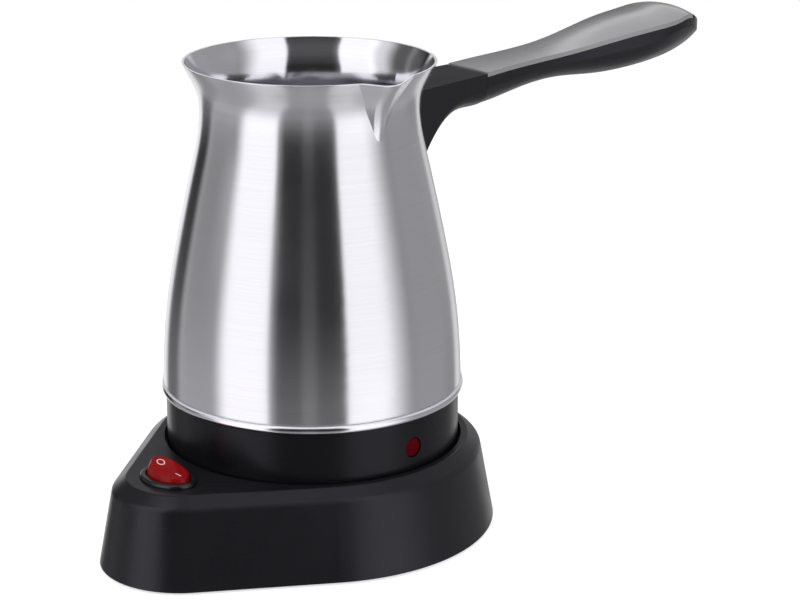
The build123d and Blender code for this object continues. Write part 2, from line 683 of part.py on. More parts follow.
def make_rocker():
    """Boat-shaped button: a body of revolution about its hinge under a hollowed top."""
    profile = Curve() + [
        EllipticalCenterArc((0, 0), ROCKER_WIDE, ROCKER_LONG, arc_size=180),
        Line((-ROCKER_WIDE, 0), (ROCKER_WIDE, 0)),
    ]
    boat = revolve(make_face(profile), Axis.X)
    reach = ROCKER_LONG + JOIN
    dish_y, dish_z = ROCKER_DISH_AT * ROCKER_LONG, ROCKER_END - ROCKER_DISH
    top = Curve() + [
        Spline((-reach, ROCKER_END), (-dish_y, dish_z), (0, ROCKER_MID), (dish_y, dish_z), (reach, ROCKER_END)),
        Line((reach, ROCKER_END), (reach, -ROCKER_SKIRT)),
        Line((reach, -ROCKER_SKIRT), (-reach, -ROCKER_SKIRT)),
        Line((-reach, -ROCKER_SKIRT), (-reach, ROCKER_END)),
    ]
    keep = extrude(Plane.YZ * make_face(top), 2 * ROCKER_WIDE, both=True)
    button = boat & keep
    hollow = extrude(Ellipse(ROCKER_WIDE - ROCKER_SKIN, ROCKER_LONG - 2 * ROCKER_SKIN), ROCKER_LONG)
    button -= Pos(0, 0, ROCKER_MID - ROCKER_SKIN - ROCKER_LONG) * hollow
    roof_z = ROCKER_MID - ROCKER_SKIN
    button += rod(PLUNGER_R + SLEEVE_WALL, 0, 0, -ROCKER_SKIRT - SLEEVE_BELOW, roof_z + FIT_GAP)
    button -= rod(PLUNGER_R + SLIDE_GAP, 0, 0, -BEYOND, roof_z - SPRING_SEAT)
    pins = Rot(0, 90, 0) * (
        Cylinder(HINGE_PIN_R, 2 * (ROCKER_WIDE + HINGE_PIN_L))
        - Cylinder(2 * HINGE_PIN_R, 2 * (ROCKER_WIDE - ROCKER_SKIN / 2))
    )
    return at_rocker(button + pins)


def make_rocker_plunger():
    """Sprung pin with a round tip that sweeps over the contact lever."""
    low = -PLUNGER_REACH
    pin = rod(PLUNGER_R, 0, 0, low + PLUNGER_R, low + PLUNGER_L)
    return at_rocker(pin + Pos(0, 0, low + PLUNGER_R) * Sphere(PLUNGER_R))


def make_rocker_spring():
    """Coil spring between the plunger and the button's roof."""
    low = -PLUNGER_REACH + PLUNGER_L
    high = ROCKER_MID - ROCKER_SKIN - SPRING_SEAT
    rise = high - low - 2 * SPRING_WIRE_R
    line = Helix(pitch=rise / SPRING_TURNS, height=rise, radius=PLUNGER_R - SPRING_WIRE_R)
    wire = sweep(Plane(origin=line @ 0, z_dir=line % 0) * Circle(SPRING_WIRE_R), path=line)
    return at_rocker(Pos(0, 0, low + SPRING_WIRE_R) * wire)


def make_switch_lever():
    """Contact strip on a round rib, tipped on to the live contact."""
    strip = Pos(0, 0, LEVER_T / 2) * Box(LEVER_W, 2 * LEVER_HALF, LEVER_T)
    strip += Rot(0, 90, 0) * Cylinder(LEVER_RIB_R, LEVER_W)
    return Pos(switch_x, 0, lever_z) * Rot(-LEVER_TILT, 0, 0) * strip


# ---------------------------------------------------------------- steel pot
def wall_face(shift):
    """Half section of the space inside the steel wall's outline, moved in by shift."""
    points = [(r - shift, floor_z + h) for h, r in BODY_OUTLINE]
    curve = Spline(*points, tangents=((FOOT_SLOPE, 1), (RIM_SLOPE, 1)))
    outline = Curve() + [
        curve,
        Line(points[-1], (0, points[-1][1])),
        Line((0, points[-1][1]), (0, points[0][1])),
        Line((0, points[0][1]), points[0]),
    ]
    return Plane.XZ * make_face(outline)


def wall_radius(height):
    """Outer radius of the steel wall at a height above the floor."""
    return on_line(Spline(*BODY_OUTLINE, tangents=((1, FOOT_SLOPE), (1, RIM_SLOPE))), height)


def spout_solid(shift):
    """Prow with flat flanks and a blunt ridge that grows out of the flared wall to the rim."""
    flank = math.radians(SPOUT_FLANK)
    sections = []
    for share in SPOUT_STEPS:
        drop = share * SPOUT_DROP
        tip = wall_radius(BODY_H - drop) + (1 - share) * SPOUT_OUT - shift
        foot = (tip * math.cos(flank) ** 2, tip * math.cos(flank) * math.sin(flank))
        mouth = make_face(Polyline((tip, 0), foot, (tip / 2, 0), (foot[0], -foot[1]), close=True))
        mouth = fillet(mouth.vertices().sort_by(Axis.X)[-1], SPOUT_TIP_ROUND * (1 - SPOUT_SHARPER * share))
        sections.append(Pos(0, 0, rim_z - drop) * mouth)
    return Rot(0, 0, SPOUT_AT) * loft(sections)


def make_pot_body():
    outer = revolve(wall_face(0), Axis.Z) + spout_solid(0)
    inner = revolve(wall_face(STEEL_T), Axis.Z) + spout_solid(STEEL_T)
    wall = outer - inner
    dip_from, dip_to = RIM_R - SPOUT_DIP_IN, RIM_R + SPOUT_OUT
    dip = Polyline(
        (dip_from, rim_z), (dip_to, rim_z - SPOUT_DIP), (dip_to, rim_z + JOIN), (dip_from, rim_z + JOIN), close=True
    )
    trim = extrude(Plane.XZ * make_face(dip), RIM_R * math.sin(math.radians(SPOUT_FLANK)), both=True)
    return wall - Rot(0, 0, SPOUT_AT) * trim


def make_pot_floor():
    return rod(BODY_FOOT_R - FLOOR_IN, 0, 0, floor_under_z, floor_z)


def make_bead_ring():
    """Bright bead that closes the joint between wall, floor and collar."""
    out_r = COLLAR_R + BEAD_PROUD
    low, high = collar_top_z + SLIDE_GAP, collar_top_z + BEAD_H
    edge_r = BODY_FOOT_R - FLOOR_IN + SLIDE_GAP
    section = make_face(Curve() + [
        Line((collar_in_r, low), (out_r - BEAD_ROUND, low)),
        ThreePointArc((out_r - BEAD_ROUND, low), (out_r, (low + high) / 2), (out_r - BEAD_ROUND, high)),
        Line((out_r - BEAD_ROUND, high), (edge_r, high)),
        Line((edge_r, high), (edge_r, floor_under_z)),
        Line((edge_r, floor_under_z), (collar_in_r, floor_under_z)),
        Line((collar_in_r, floor_under_z), (collar_in_r, low)),
    ])
    return revolve(Plane.XZ * section, Axis.Z)


def make_seal_ring():
    return tube(seal_in_r + SEAL_W, seal_in_r, collar_top_z + SLIDE_GAP, floor_under_z)


# ---------------------------------------------------------------- heater and connector under the pot
def make_heat_spreader():
    plate = rod(spreader_r, 0, 0, spreader_z, floor_under_z)
    for hole in three_of(rod(EAR_SCREW_R + SLIDE_GAP, 0, 0, 0, floor_under_z - BLIND_ROOF), ear_at_r, EAR_FIRST):
        plate -= hole
    return plate


def make_heating_element():
    """Flat-topped sheathed ring, open on the side of the terminals."""
    half = ELEMENT_W / 2
    near, far = element_r - half, element_r + half
    section = make_face(Curve() + [
        Line((near, spreader_z), (far, spreader_z)),
        Line((far, spreader_z), (far, element_z + half)),
        ThreePointArc((far, element_z + half), (element_r, element_z), (near, element_z + half)),
        Line((near, element_z + half), (near, spreader_z)),
    ])
    sweep_deg = 360 - ELEMENT_GAP_DEG
    ring = Rot(0, 0, 180 + ELEMENT_GAP_DEG / 2) * revolve(Plane.XZ * section, Axis.Z, sweep_deg)
    for side in (1, -1):
        x, y = terminal_place(side)
        ring += rod(TERMINAL_R, x, y, terminal_low_z, element_z + half)
    return ring


def terminal_place(side):
    """Centre of the element's terminal, just inside the end of its ring."""
    return polar(element_r, 180 - side * (ELEMENT_GAP_DEG / 2 + TERMINAL_BACK_DEG))


def make_floor_studs():
    thread = rod(STUD_SCREW_R + SLIDE_GAP, 0, 0, 0, floor_under_z - STUD_ROOF)
    return three_of(rod(STUD_R, 0, 0, stud_low_z, floor_under_z) - thread, stud_at_r, COLLAR_SCREW_FIRST)


def make_collar():
    """Black ring under the bead with bosses for its own screws and for the cover's."""
    collar = tube(COLLAR_R, collar_in_r, collar_z, collar_top_z)
    boss_low = stud_low_z - COLLAR_BOSS_H
    boss = rod(COLLAR_BOSS_R, 0, 0, boss_low, stud_low_z)
    rib = block((0, -RIB_HALF, boss_low), (collar_in_r + JOIN - stud_at_r, RIB_HALF, stud_low_z))
    cover_boss_top = cover_top_z + COVER_BOSS_H
    cover_boss = rod(COVER_BOSS_R, 0, 0, cover_top_z, cover_boss_top)
    cover_rib = block(
        (0, -RIB_HALF, cover_top_z), (collar_in_r + JOIN - cover_screw_at_r, RIB_HALF, cover_boss_top)
    )
    for i in range(THREE):
        turn = i * 360 / THREE
        collar += Rot(0, 0, COLLAR_SCREW_FIRST + turn) * Pos(stud_at_r, 0, 0) * (boss + rib)
        collar += Rot(0, 0, COVER_SCREW_FIRST + turn) * Pos(cover_screw_at_r, 0, 0) * (cover_boss + cover_rib)
    for hole in three_of(collar_screw_hole(), stud_at_r, COLLAR_SCREW_FIRST):
        collar -= hole
    cover_hole = rod(COVER_SCREW_R + SLIDE_GAP, 0, 0, 0, cover_boss_top - BLIND_ROOF)
    for hole in three_of(cover_hole, cover_screw_at_r, COVER_SCREW_FIRST):
        collar -= hole
    return collar - at_lens(Rot(90, 0, 0) * Cylinder(LENS_R + SLIDE_GAP, COLLAR_R))


def collar_seat_z():
    """Seat of the heads of the collar's screws."""
    return stud_low_z - COLLAR_BOSS_H + COLLAR_SEAT


def collar_screw_hole():
    """Stepped hole: clear for the shank, wider below for the head."""
    head_r = 2 * STUD_SCREW_R + SLIDE_GAP
    return rod(STUD_SCREW_R + FIT_GAP, 0, 0, 0, BEYOND) + rod(head_r, 0, 0, 0, collar_seat_z())


def make_collar_screws():
    length = COLLAR_BOSS_H - COLLAR_SEAT + STUD_SCREW_IN
    one = Pos(0, 0, collar_seat_z()) * screw(STUD_SCREW_R, length, 2 * STUD_SCREW_R, COLLAR_HEAD_T, False)
    return three_of(one, stud_at_r, COLLAR_SCREW_FIRST)


def make_bottom_cover():
    inner_r = TOWER_R + 2 * MOVE_GAP
    cover = tube(collar_in_r - FIT_GAP, inner_r, cover_z, cover_top_z)
    cover += tube(inner_r + CHIMNEY_WALL, inner_r, cover_z, connector_z - FIT_GAP)
    stepped = rod(COVER_SCREW_R + FIT_GAP, 0, 0, 0, BEYOND) + rod(
        2 * COVER_SCREW_R + FIT_GAP, 0, 0, 0, cover_z + COVER_SEAT
    )
    for hole in three_of(stepped, cover_screw_at_r, COVER_SCREW_FIRST):
        cover -= hole
    return cover


def make_cover_screws():
    one = screw(COVER_SCREW_R, COVER_BOSS_H - COVER_SCREW_SHORT, 2 * COVER_SCREW_R, COVER_HEAD_T, False)
    return three_of(Pos(0, 0, cover_z + COVER_SEAT) * one, cover_screw_at_r, COVER_SCREW_FIRST)


def make_pot_connector():
    """Pot's half of the round connector, held under the heat spreader by three ears."""
    body = rod(CONNECTOR_R, 0, 0, connector_z, connector_top_z)
    for x, y in three_places(ear_at_r, EAR_FIRST):
        body += rod(EAR_R, x, y, connector_z, spreader_z)
    body -= rod(PIN_R + SLIDE_GAP, 0, 0, 0, BEYOND)
    body -= rod(PIN_HEAD_R + PIN_HEAD_GAP, 0, 0, connector_top_z - PIN_HEAD_SINK, BEYOND)
    for middle_r in (NEUTRAL_RING_R, EARTH_RING_R):
        half = RING_T / 2 + SLIDE_GAP
        body -= tube(middle_r + half, middle_r - half, 0, ring_top_z())
    for x, y in three_places(ear_at_r, EAR_FIRST):
        body -= rod(EAR_SCREW_R + SLIDE_GAP, x, y, 0, BEYOND)
        body -= rod(EAR_HEAD_R + SLIDE_GAP, x, y, 0, connector_z + EAR_HEAD_SINK)
    return body


def ring_top_z():
    return connector_top_z - RING_ROOF


def contact_ring(middle_r):
    return tube(middle_r + RING_T / 2, middle_r - RING_T / 2, ring_low_z, ring_top_z())


def make_connector_pin():
    """Centre pin with a head in the connector's counterbore."""
    seat_z = connector_top_z - PIN_HEAD_SINK + SLIDE_GAP
    pin = rod(PIN_R, 0, 0, pin_low_z, seat_z)
    return pin + rod(PIN_HEAD_R, 0, 0, seat_z, seat_z + PIN_HEAD_T)


def make_connector_screws():
    seat_z = connector_z + EAR_HEAD_SINK
    one = screw(EAR_SCREW_R, spreader_z - seat_z + EAR_SCREW_IN, EAR_HEAD_R, EAR_HEAD_T, False)
    return three_of(Pos(0, 0, seat_z) * one, ear_at_r, EAR_FIRST)


def make_thermostat():
    """Snap-disc cut-out against the heat spreader, with two blades."""
    body = rod(THERMOSTAT_R, 0, 0, spreader_z - THERMOSTAT_H, spreader_z)
    for side in (1, -1):
        x = side * THERMOSTAT_BLADE_X
        half_t, half_w = THERMOSTAT_BLADE_T / 2, THERMOSTAT_BLADE_W / 2
        top = spreader_z - THERMOSTAT_H
        body += block((x - half_t, -half_w, top - THERMOSTAT_BLADE_L), (x + half_t, half_w, top))
    return Pos(0, -thermostat_at_r, 0) * body


def off_round(centre, toward, radius, z):
    """Point just outside a round piece, on the line to the wire's next bend."""
    dx, dy = toward[0] - centre[0], toward[1] - centre[1]
    reach = (radius + SLIDE_GAP) / math.hypot(dx, dy)
    return centre[0] + dx * reach, centre[1] + dy * reach, z


def blade_face(side):
    """Outer face of one of the thermostat's blades."""
    return side * (THERMOSTAT_BLADE_X + THERMOSTAT_BLADE_T / 2), -thermostat_at_r


def make_pot_wires():
    """Insulated wires between element, thermostat, connector and lamp."""
    side_z = connector_z + CONNECTOR_T / 2
    tail_z = terminal_low_z + TERMINAL_R
    blade_z = spreader_z - THERMOSTAT_H - THERMOSTAT_BLADE_L / 2
    live, neutral = terminal_place(-1), terminal_place(1)
    near_neutral = polar(CONNECTOR_R + 7, 150)
    near_live = (blade_face(-1)[0] - 7, blade_face(-1)[1])
    near_pin = (blade_face(1)[0] + 5, blade_face(1)[1])
    below_pin = (near_pin[0], near_pin[1] + 5)
    return {
        "element_wire": round_bar(
            (
                off_round(neutral, near_neutral, TERMINAL_R, tail_z),
                (*near_neutral, tail_z),
                (*near_neutral, side_z),
                off_round((0, 0), near_neutral, CONNECTOR_R, side_z),
            ),
            2.0, WIRE_R,
        ),
        "thermostat_wire": round_bar(
            (
                off_round(live, near_live, TERMINAL_R, tail_z),
                (*near_live, blade_z),
                (*blade_face(-1), blade_z),
            ),
            2.0, WIRE_R,
        ),
        "pin_wire": round_bar(
            (
                (*blade_face(1), blade_z),
                (*near_pin, blade_z),
                (*below_pin, side_z),
                off_round((0, 0), below_pin, CONNECTOR_R, side_z),
            ),
            1.2, WIRE_R,
        ),
        **make_lamp_leads(live, side_z),
    }


def make_lamp_leads(live, side_z):
    """Thin leads from the lamp's ends to the live terminal and the connector."""
    x0, y0, z0 = at_lamp(-LAMP_L / 2)
    u0, v0, _ = at_lamp(-LAMP_L / 2 - 4)
    x1, y1, z1 = at_lamp(LAMP_L / 2)
    u1, v1, _ = at_lamp(LAMP_L / 2 + 4)
    live_bend = polar(element_r + 1, 227)
    pin_bend = polar(CONNECTOR_R + 10, 297)
    pin_near = polar(CONNECTOR_R + 4, 300)
    lead_z = terminal_low_z + LEAD_R
    enter_z = connector_z + 2 * LEAD_R
    return {
        "lamp_wire_live": round_bar(
            (
                (x0, y0, z0),
                (u0, v0, z0),
                (*live_bend, lead_z),
                off_round(live, live_bend, TERMINAL_R, lead_z),
            ),
            2.0, LEAD_R,
        ),
        "lamp_wire_neutral": round_bar(
            (
                (x1, y1, z1),
                (u1, v1, z1),
                (*pin_bend, z1),
                (*pin_near, enter_z),
                off_round((0, 0), pin_near, CONNECTOR_R, enter_z),
            ),
            1.5, LEAD_R,
        ),
    }


# ---------------------------------------------------------------- indicator
def at_lens_turn(part):
    """Turn a part built on the -Y side to the lamp's place on the collar."""
    return Rot(0, 0, LENS_AT) * part


def at_lens(part):
    """Place a part built about the Y axis at the lens's height and place."""
    return at_lens_turn(Pos(0, -COLLAR_R, lens_z) * part)


def lamp_at_r():
    return collar_in_r - LENS_BEHIND - LENS_FLANGE_T - LAMP_R - 2 * SLIDE_GAP


def at_lamp(along):
    """Point on the lamp's axis at a distance from its middle."""
    turn = math.radians(LENS_AT)
    back = -lamp_at_r()
    return (
        along * math.cos(turn) - back * math.sin(turn),
        along * math.sin(turn) + back * math.cos(turn),
        lens_z,
    )


def make_indicator_lens():
    """Red button lens, a little below the collar's face, with a flange behind the wall."""
    back = COLLAR_WALL + LENS_BEHIND
    face = Pos(0, (LENS_INSET + back) / 2, 0) * Rot(90, 0, 0) * Cylinder(LENS_R, back - LENS_INSET)
    face = fillet(face.edges().group_by(Axis.Y)[0], LENS_ROUND)
    flange = Pos(0, back + LENS_FLANGE_T / 2, 0) * Rot(90, 0, 0) * Cylinder(LENS_R + LENS_FLANGE, LENS_FLANGE_T)
    return at_lens(face + flange)


def make_indicator_lamp():
    """Small neon lying behind the lens."""
    bulb = Rot(0, 90, 0) * Cylinder(LAMP_R, LAMP_L)
    bulb = fillet(bulb.edges(), LAMP_ROUND)
    return at_lens_turn(Pos(0, -lamp_at_r(), lens_z) * bulb)


# ---------------------------------------------------------------- handle
def u_section(x, half, top, low, belly):
    """Face standing at x: flat top, upright sides and a half-oval belly."""
    side_z = waist_z + low + belly
    top_z = waist_z + top
    outline = Curve() + [
        EllipticalCenterArc((0, side_z), half, belly, start_angle=180, arc_size=180),
        Line((half, side_z), (half, top_z)),
        Line((half, top_z), (-half, top_z)),
        Line((-half, top_z), (-half, side_z)),
    ]
    return Plane.YZ.offset(x) * make_face(outline)


def on_line(line, x):
    """Height of a line along the handle at a distance from the axis."""
    near, far = 0.0, 1.0
    for _ in range(40):
        middle = (near + far) / 2
        near, far = (middle, far) if (line @ middle).X < x else (near, middle)
    return (line @ near).Y


def top_at(x):
    return on_line(Spline(*GRIP_TOP_LINE), x)


def low_at(x):
    return on_line(Spline(*GRIP_LOW_LINE), x)


def side_line():
    """Left side of the grip from above, up to its rounded end."""
    points = [(SEAM_X - 6, SEAM_HALF), (THROAT_X, HANDLE_THROAT), (END_ROUND_FROM_X, HANDLE_HALF)]
    return Spline(*points, tangents=((1, 0), (1, 0)), tangent_scalars=(0.6, 0.7))


def half_at(x):
    return on_line(side_line(), x) if x < END_ROUND_FROM_X else HANDLE_HALF


def belly_half_at(x):
    """Half width of the belly's oval: wider than the grip, and rounded in at its end."""
    reach = HANDLE_END_X + BELLY_END - END_ROUND_FROM_X
    share = max(0.0, x - END_ROUND_FROM_X) / reach
    return BELLY_WIDE * half_at(x) * math.sqrt(1 - share ** 2)


def crown_section(plane, crown, high):
    """Face across the grip's top line: an arc below, open space above."""
    wide = CROWN_WIDE * HANDLE_HALF
    edge = -crown * CROWN_WIDE ** 2
    outline = Curve() + [
        ThreePointArc((-wide, edge), (0, 0), (wide, edge)),
        Line((wide, edge), (wide, high)),
        Line((wide, high), (-wide, high)),
        Line((-wide, high), (-wide, edge)),
    ]
    return plane * make_face(outline)


def above_grip(drop):
    """All the space above the grip's crowned top, or above a surface sunk below it."""
    path = Spline(*[(x, 0, waist_z + top - drop) for x, top in GRIP_TOP_LINE])
    first = Plane(origin=path @ 0, x_dir=(0, 1, 0), z_dir=path % 0)
    last = Plane(origin=path @ 1, x_dir=(0, 1, 0), z_dir=path % 1)
    sections = [crown_section(first, CROWN_START, CUT_ABOVE), crown_section(last, CROWN_END, CUT_ABOVE)]
    return sweep(sections, path=path, multisection=True)


def grip_plan():
    """Outline of the grip from above."""
    length = HANDLE_END_X - END_ROUND_FROM_X
    left = side_line()
    right = mirror(left, about=Plane.XZ)
    end = EllipticalCenterArc((END_ROUND_FROM_X, 0), length, HANDLE_HALF, start_angle=-90, arc_size=180)
    return make_face(Curve() + [left, end, right, Line(left @ 0, right @ 0)])


def grip_blank():
    """Grip and cover together, from the parting line to the rounded end."""
    sections = []
    first, last = SEAM_X - STATION_BEFORE, HANDLE_END_X + STATION_PAST
    for i in range(STATIONS):
        x = first + i * (last - first) / (STATIONS - 1)
        low = low_at(x)
        depth = max(top_at(x) - low, BELLY_LEAST)
        past = max(0.0, x - END_ROUND_FROM_X) / (last - END_ROUND_FROM_X)
        share = BELLY_SHARE + (BELLY_SHARE_END - BELLY_SHARE) * past
        sections.append(u_section(x, belly_half_at(x), trunk_top, low, share * depth))
    trunk = loft(sections) & extrude(grip_plan(), BEYOND)
    return trunk - above_grip(0) - slab(0, SEAM_X)


def cover_region(grow):
    """Space of the cover: above its parting surface and inside its own rounded end."""
    length = HANDLE_END_X - COVER_SETBACK - END_ROUND_FROM_X + grow
    rounded = Pos(END_ROUND_FROM_X, 0, 0) * Ellipse(length, HANDLE_HALF + COVER_END_WIDER + grow)
    return above_grip(COVER_SKIN + grow) & (extrude(rounded, BEYOND) + slab(0, END_ROUND_FROM_X))


def tongue(grow):
    """Flat tongue of the neck that plugs into the grip."""
    top = deck_z() - TONGUE_SINK
    return block(
        (SEAM_X - TONGUE_ROOT, -TONGUE_HALF - grow, top - TONGUE_T - grow),
        (SEAM_X + TONGUE_L + grow, TONGUE_HALF + grow, top + grow),
    )


def grip_screw_places():
    return [SEAM_X + along for along in GRIP_SCREW_AT]


def deck_z():
    """Top of the grip under the cover, at the parting line."""
    return waist_z + top_at(SEAM_X) - COVER_SKIN


def grip_channels():
    """Hollows that lighten the grip under its cover."""
    first, last = SEAM_X + TONGUE_L + ROOM_FROM_TONGUE, END_ROUND_FROM_X + ROOM_INTO_END
    step = (last - first) / GRIP_ROOMS
    rooms = []
    for i in range(GRIP_ROOMS):
        x0, x1 = first + i * step, first + (i + 1) * step - GRIP_WALL
        half = min(half_at(x0), half_at(x1)) - 2 * GRIP_WALL
        bottom = waist_z + max(low_at(x0), low_at(x1)) + GRIP_WALL
        rooms.append(block((x0, -half, bottom), (x1, half, BEYOND)))
    return rooms


def make_handle_grip():
    grip = grip_blank() - cover_region(SLIDE_GAP)
    grip -= tongue(FIT_GAP)
    for room in grip_channels():
        grip -= room
    for x in grip_screw_places():
        grip -= rod(GRIP_SCREW_R + FIT_GAP, x, 0, deck_z() - TONGUE_SINK - FIT_GAP, BEYOND)
        grip -= rod(2 * GRIP_SCREW_R + FIT_GAP, x, 0, deck_z() - GRIP_HEAD_SINK, BEYOND)
    return grip


def make_handle_cover():
    return grip_blank() & cover_region(0)


def make_grip_screws():
    one = screw(GRIP_SCREW_R, GRIP_SCREW_L, 2 * GRIP_SCREW_R, GRIP_HEAD_T, True)
    return [Pos(x, 0, deck_z() - GRIP_HEAD_SINK) * one for x in grip_screw_places()]


def tab_z():
    """Middle height of the bracket's tab."""
    return waist_z - TAB_BELOW_WAIST


def bracket_blank(grow):
    """Weld plate and tab before the pot's wall is cut from them."""
    z = tab_z()
    plate_half, plate_up = TAB_HALF + PLATE_WIDER + grow, PLATE_UP + grow
    tab_half, tab_up = TAB_HALF + grow, TAB_T / 2 + grow
    plate = block(
        (WAIST_R - PLATE_ROOT, -plate_half, z - plate_up), (WAIST_R + PLATE_OUT + grow, plate_half, z + plate_up)
    )
    return plate + block((WAIST_R, -tab_half, z - tab_up), (WAIST_R + TAB_L + grow, tab_half, z + tab_up))


def make_handle_bracket():
    inside = revolve(wall_face(0), Axis.Z)
    return bracket_blank(0) - inside - rod(HANDLE_SCREW_R + SLIDE_GAP, handle_screw_x, 0, 0, BEYOND)


def neck_blank():
    """Neck from inside the pot's wall line to the parting line."""
    low_line = Spline(*NECK_LOW_LINE)
    sections = []
    for i in range(NECK_STATIONS):
        share = i / (NECK_STATIONS - 1)
        x = NECK_FROM_X + share * (SEAM_X - NECK_FROM_X)
        half = NECK_HALF + (SEAM_HALF - NECK_HALF) * share
        top = top_at(SEAM_X) - NECK_STEP - (SEAM_X - x) * NECK_TOP_RISE
        sections.append(u_section(x, half, top, on_line(low_line, x), NECK_BELLY))
    return loft(sections) - slab(SEAM_X - SEAM_GAP, SEAM_X + BEYOND)


def make_handle_neck():
    neck = neck_blank()
    neck += tongue(0)
    neck -= revolve(wall_face(-FIT_GAP), Axis.Z)
    neck -= bracket_blank(FIT_GAP)
    neck -= rod(HANDLE_SCREW_R + SLIDE_GAP, handle_screw_x, 0, 0, tab_z() + HANDLE_SCREW_OVER)
    neck -= rod(2 * HANDLE_SCREW_R + SLIDE_GAP, handle_screw_x, 0, 0, tab_z() - HANDLE_SCREW_SEAT)
    for x in grip_screw_places():
        neck -= rod(GRIP_SCREW_R + SLIDE_GAP, x, 0, deck_z() - GRIP_HEAD_SINK - GRIP_SCREW_L - SLIDE_GAP, BEYOND)
    return neck


def make_handle_screw():
    one = screw(HANDLE_SCREW_R, HANDLE_SCREW_L, 2 * HANDLE_SCREW_R, HANDLE_HEAD_T, False)
    return Pos(handle_screw_x, 0, tab_z() - HANDLE_SCREW_SEAT) * one


# ---------------------------------------------------------------- everything
def base_parts():
    parts = {
        "base_shell": make_base_shell(),
        "base_plate": make_base_plate(),
        "base_screws": make_base_screws(),
        "cord_grommet": make_cord_grommet(),
        "base_socket": make_base_socket(),
        "socket_live_contact": make_socket_live_contact(),
        "socket_screws": make_socket_screws(),
        "base_live_wire": make_base_live_wire(),
        "switch_housing": make_switch_housing(),
        "switch_common_terminal": common_blade(),
        "switch_live_terminal": live_blade(),
        "rocker": make_rocker(),
        "rocker_plunger": make_rocker_plunger(),
        "rocker_spring": make_rocker_spring(),
        "switch_lever": make_switch_lever(),
    }
    for name, (x, y) in contact_places().items():
        parts[f"socket_{name}_contact"] = contact_blade(x, y, 0)
    for name, (x, y) in FOOT_PLACES.items():
        parts[name] = make_foot(x, y)
    return parts


def pot_parts():
    parts = {
        "pot_body": make_pot_body(),
        "pot_floor": make_pot_floor(),
        "bead_ring": make_bead_ring(),
        "seal_ring": make_seal_ring(),
        "heat_spreader": make_heat_spreader(),
        "heating_element": make_heating_element(),
        "floor_studs": make_floor_studs(),
        "collar": make_collar(),
        "collar_screws": make_collar_screws(),
        "bottom_cover": make_bottom_cover(),
        "cover_screws": make_cover_screws(),
        "pot_connector": make_pot_connector(),
        "connector_screws": make_connector_screws(),
        "connector_pin": make_connector_pin(),
        "neutral_ring": contact_ring(NEUTRAL_RING_R),
        "earth_ring": contact_ring(EARTH_RING_R),
        "thermostat": make_thermostat(),
        "indicator_lens": make_indicator_lens(),
        "indicator_lamp": make_indicator_lamp(),
        "handle_bracket": make_handle_bracket(),
        "handle_screw": make_handle_screw(),
        "handle_neck": make_handle_neck(),
        "handle_grip": make_handle_grip(),
        "handle_cover": make_handle_cover(),
        "grip_screws": make_grip_screws(),
    }
    parts.update(make_pot_wires())
    return parts


def turned(part, degrees):
    """Turn a part, or each of a group of parts, about the pot's axis."""
    if isinstance(part, list):
        return [Rot(0, 0, degrees) * p for p in part]
    return Rot(0, 0, degrees) * part


def as_one(part):
    """A group of separate solids becomes one compound."""
    return Compound(children=[s for p in part for s in p.solids()]) if isinstance(part, list) else part


def build():
    parts = {name: as_one(part) for name, part in base_parts().items()}
    for name, part in pot_parts().items():
        parts[name] = as_one(turned(part, POT_TURN))
    return parts


if __name__ == "__main__":
    os.makedirs("parts", exist_ok=True)
    for node, shape in build().items():
        shape.label = node
        export_step(shape, f"parts/{node}.step")
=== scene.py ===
"""Looks of the electric coffee pot: materials, studio, camera and the small printed details."""
import json
import math

import bmesh
import bpy
from mathutils import Matrix, Vector


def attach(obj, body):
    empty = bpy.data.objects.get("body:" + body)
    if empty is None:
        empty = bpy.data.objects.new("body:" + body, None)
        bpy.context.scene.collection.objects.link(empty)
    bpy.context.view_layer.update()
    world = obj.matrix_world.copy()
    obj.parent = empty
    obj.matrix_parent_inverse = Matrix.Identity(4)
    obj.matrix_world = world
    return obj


# ---------------------------------------------------------------- frame
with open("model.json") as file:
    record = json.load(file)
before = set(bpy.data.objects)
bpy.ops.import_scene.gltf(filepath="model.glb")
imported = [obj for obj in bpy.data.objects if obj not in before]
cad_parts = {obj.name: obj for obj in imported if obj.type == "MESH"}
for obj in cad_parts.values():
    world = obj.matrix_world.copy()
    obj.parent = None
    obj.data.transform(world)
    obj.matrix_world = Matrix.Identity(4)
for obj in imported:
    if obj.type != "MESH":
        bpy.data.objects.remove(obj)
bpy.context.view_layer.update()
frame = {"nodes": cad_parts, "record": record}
nodes = frame["nodes"]
joints = {joint["name"]: joint for joint in frame["record"]["behaviour"]["joints"]}

# ---------------------------------------------------------------- camera
CAMERA_PLACE = Vector((-0.47811, -0.50511, 0.29085))
CAMERA_FORWARD = Vector((0.68391, 0.66577, -0.29835))
CAMERA_UP = Vector((0.21132, 0.21064, 0.95445))
CAMERA_LENS_MM, CAMERA_SENSOR_MM = 101.57, 36.0
CAMERA_NEAR, CAMERA_FAR = 0.01, 20.0


def add_object(name, data):
    """New object in the scene."""
    made = bpy.data.objects.new(name, data)
    bpy.context.scene.collection.objects.link(made)
    return made


def make_camera():
    camera = add_object("camera", bpy.data.cameras.new("camera"))
    back = -CAMERA_FORWARD.normalized()
    right = CAMERA_UP.cross(back).normalized()
    up = back.cross(right)
    turn = Matrix((right, up, back)).transposed()
    camera.matrix_world = Matrix.Translation(CAMERA_PLACE) @ turn.to_4x4()
    camera.data.lens = CAMERA_LENS_MM
    camera.data.sensor_width = CAMERA_SENSOR_MM
    camera.data.clip_start = CAMERA_NEAR
    camera.data.clip_end = CAMERA_FAR
    bpy.context.scene.camera = camera


# ---------------------------------------------------------------- shader helpers
def put(tree, socket, value):
    """Link an output to a socket, or set the socket to a plain value."""
    if isinstance(value, bpy.types.NodeSocket):
        tree.links.new(value, socket)
    else:
        socket.default_value = value


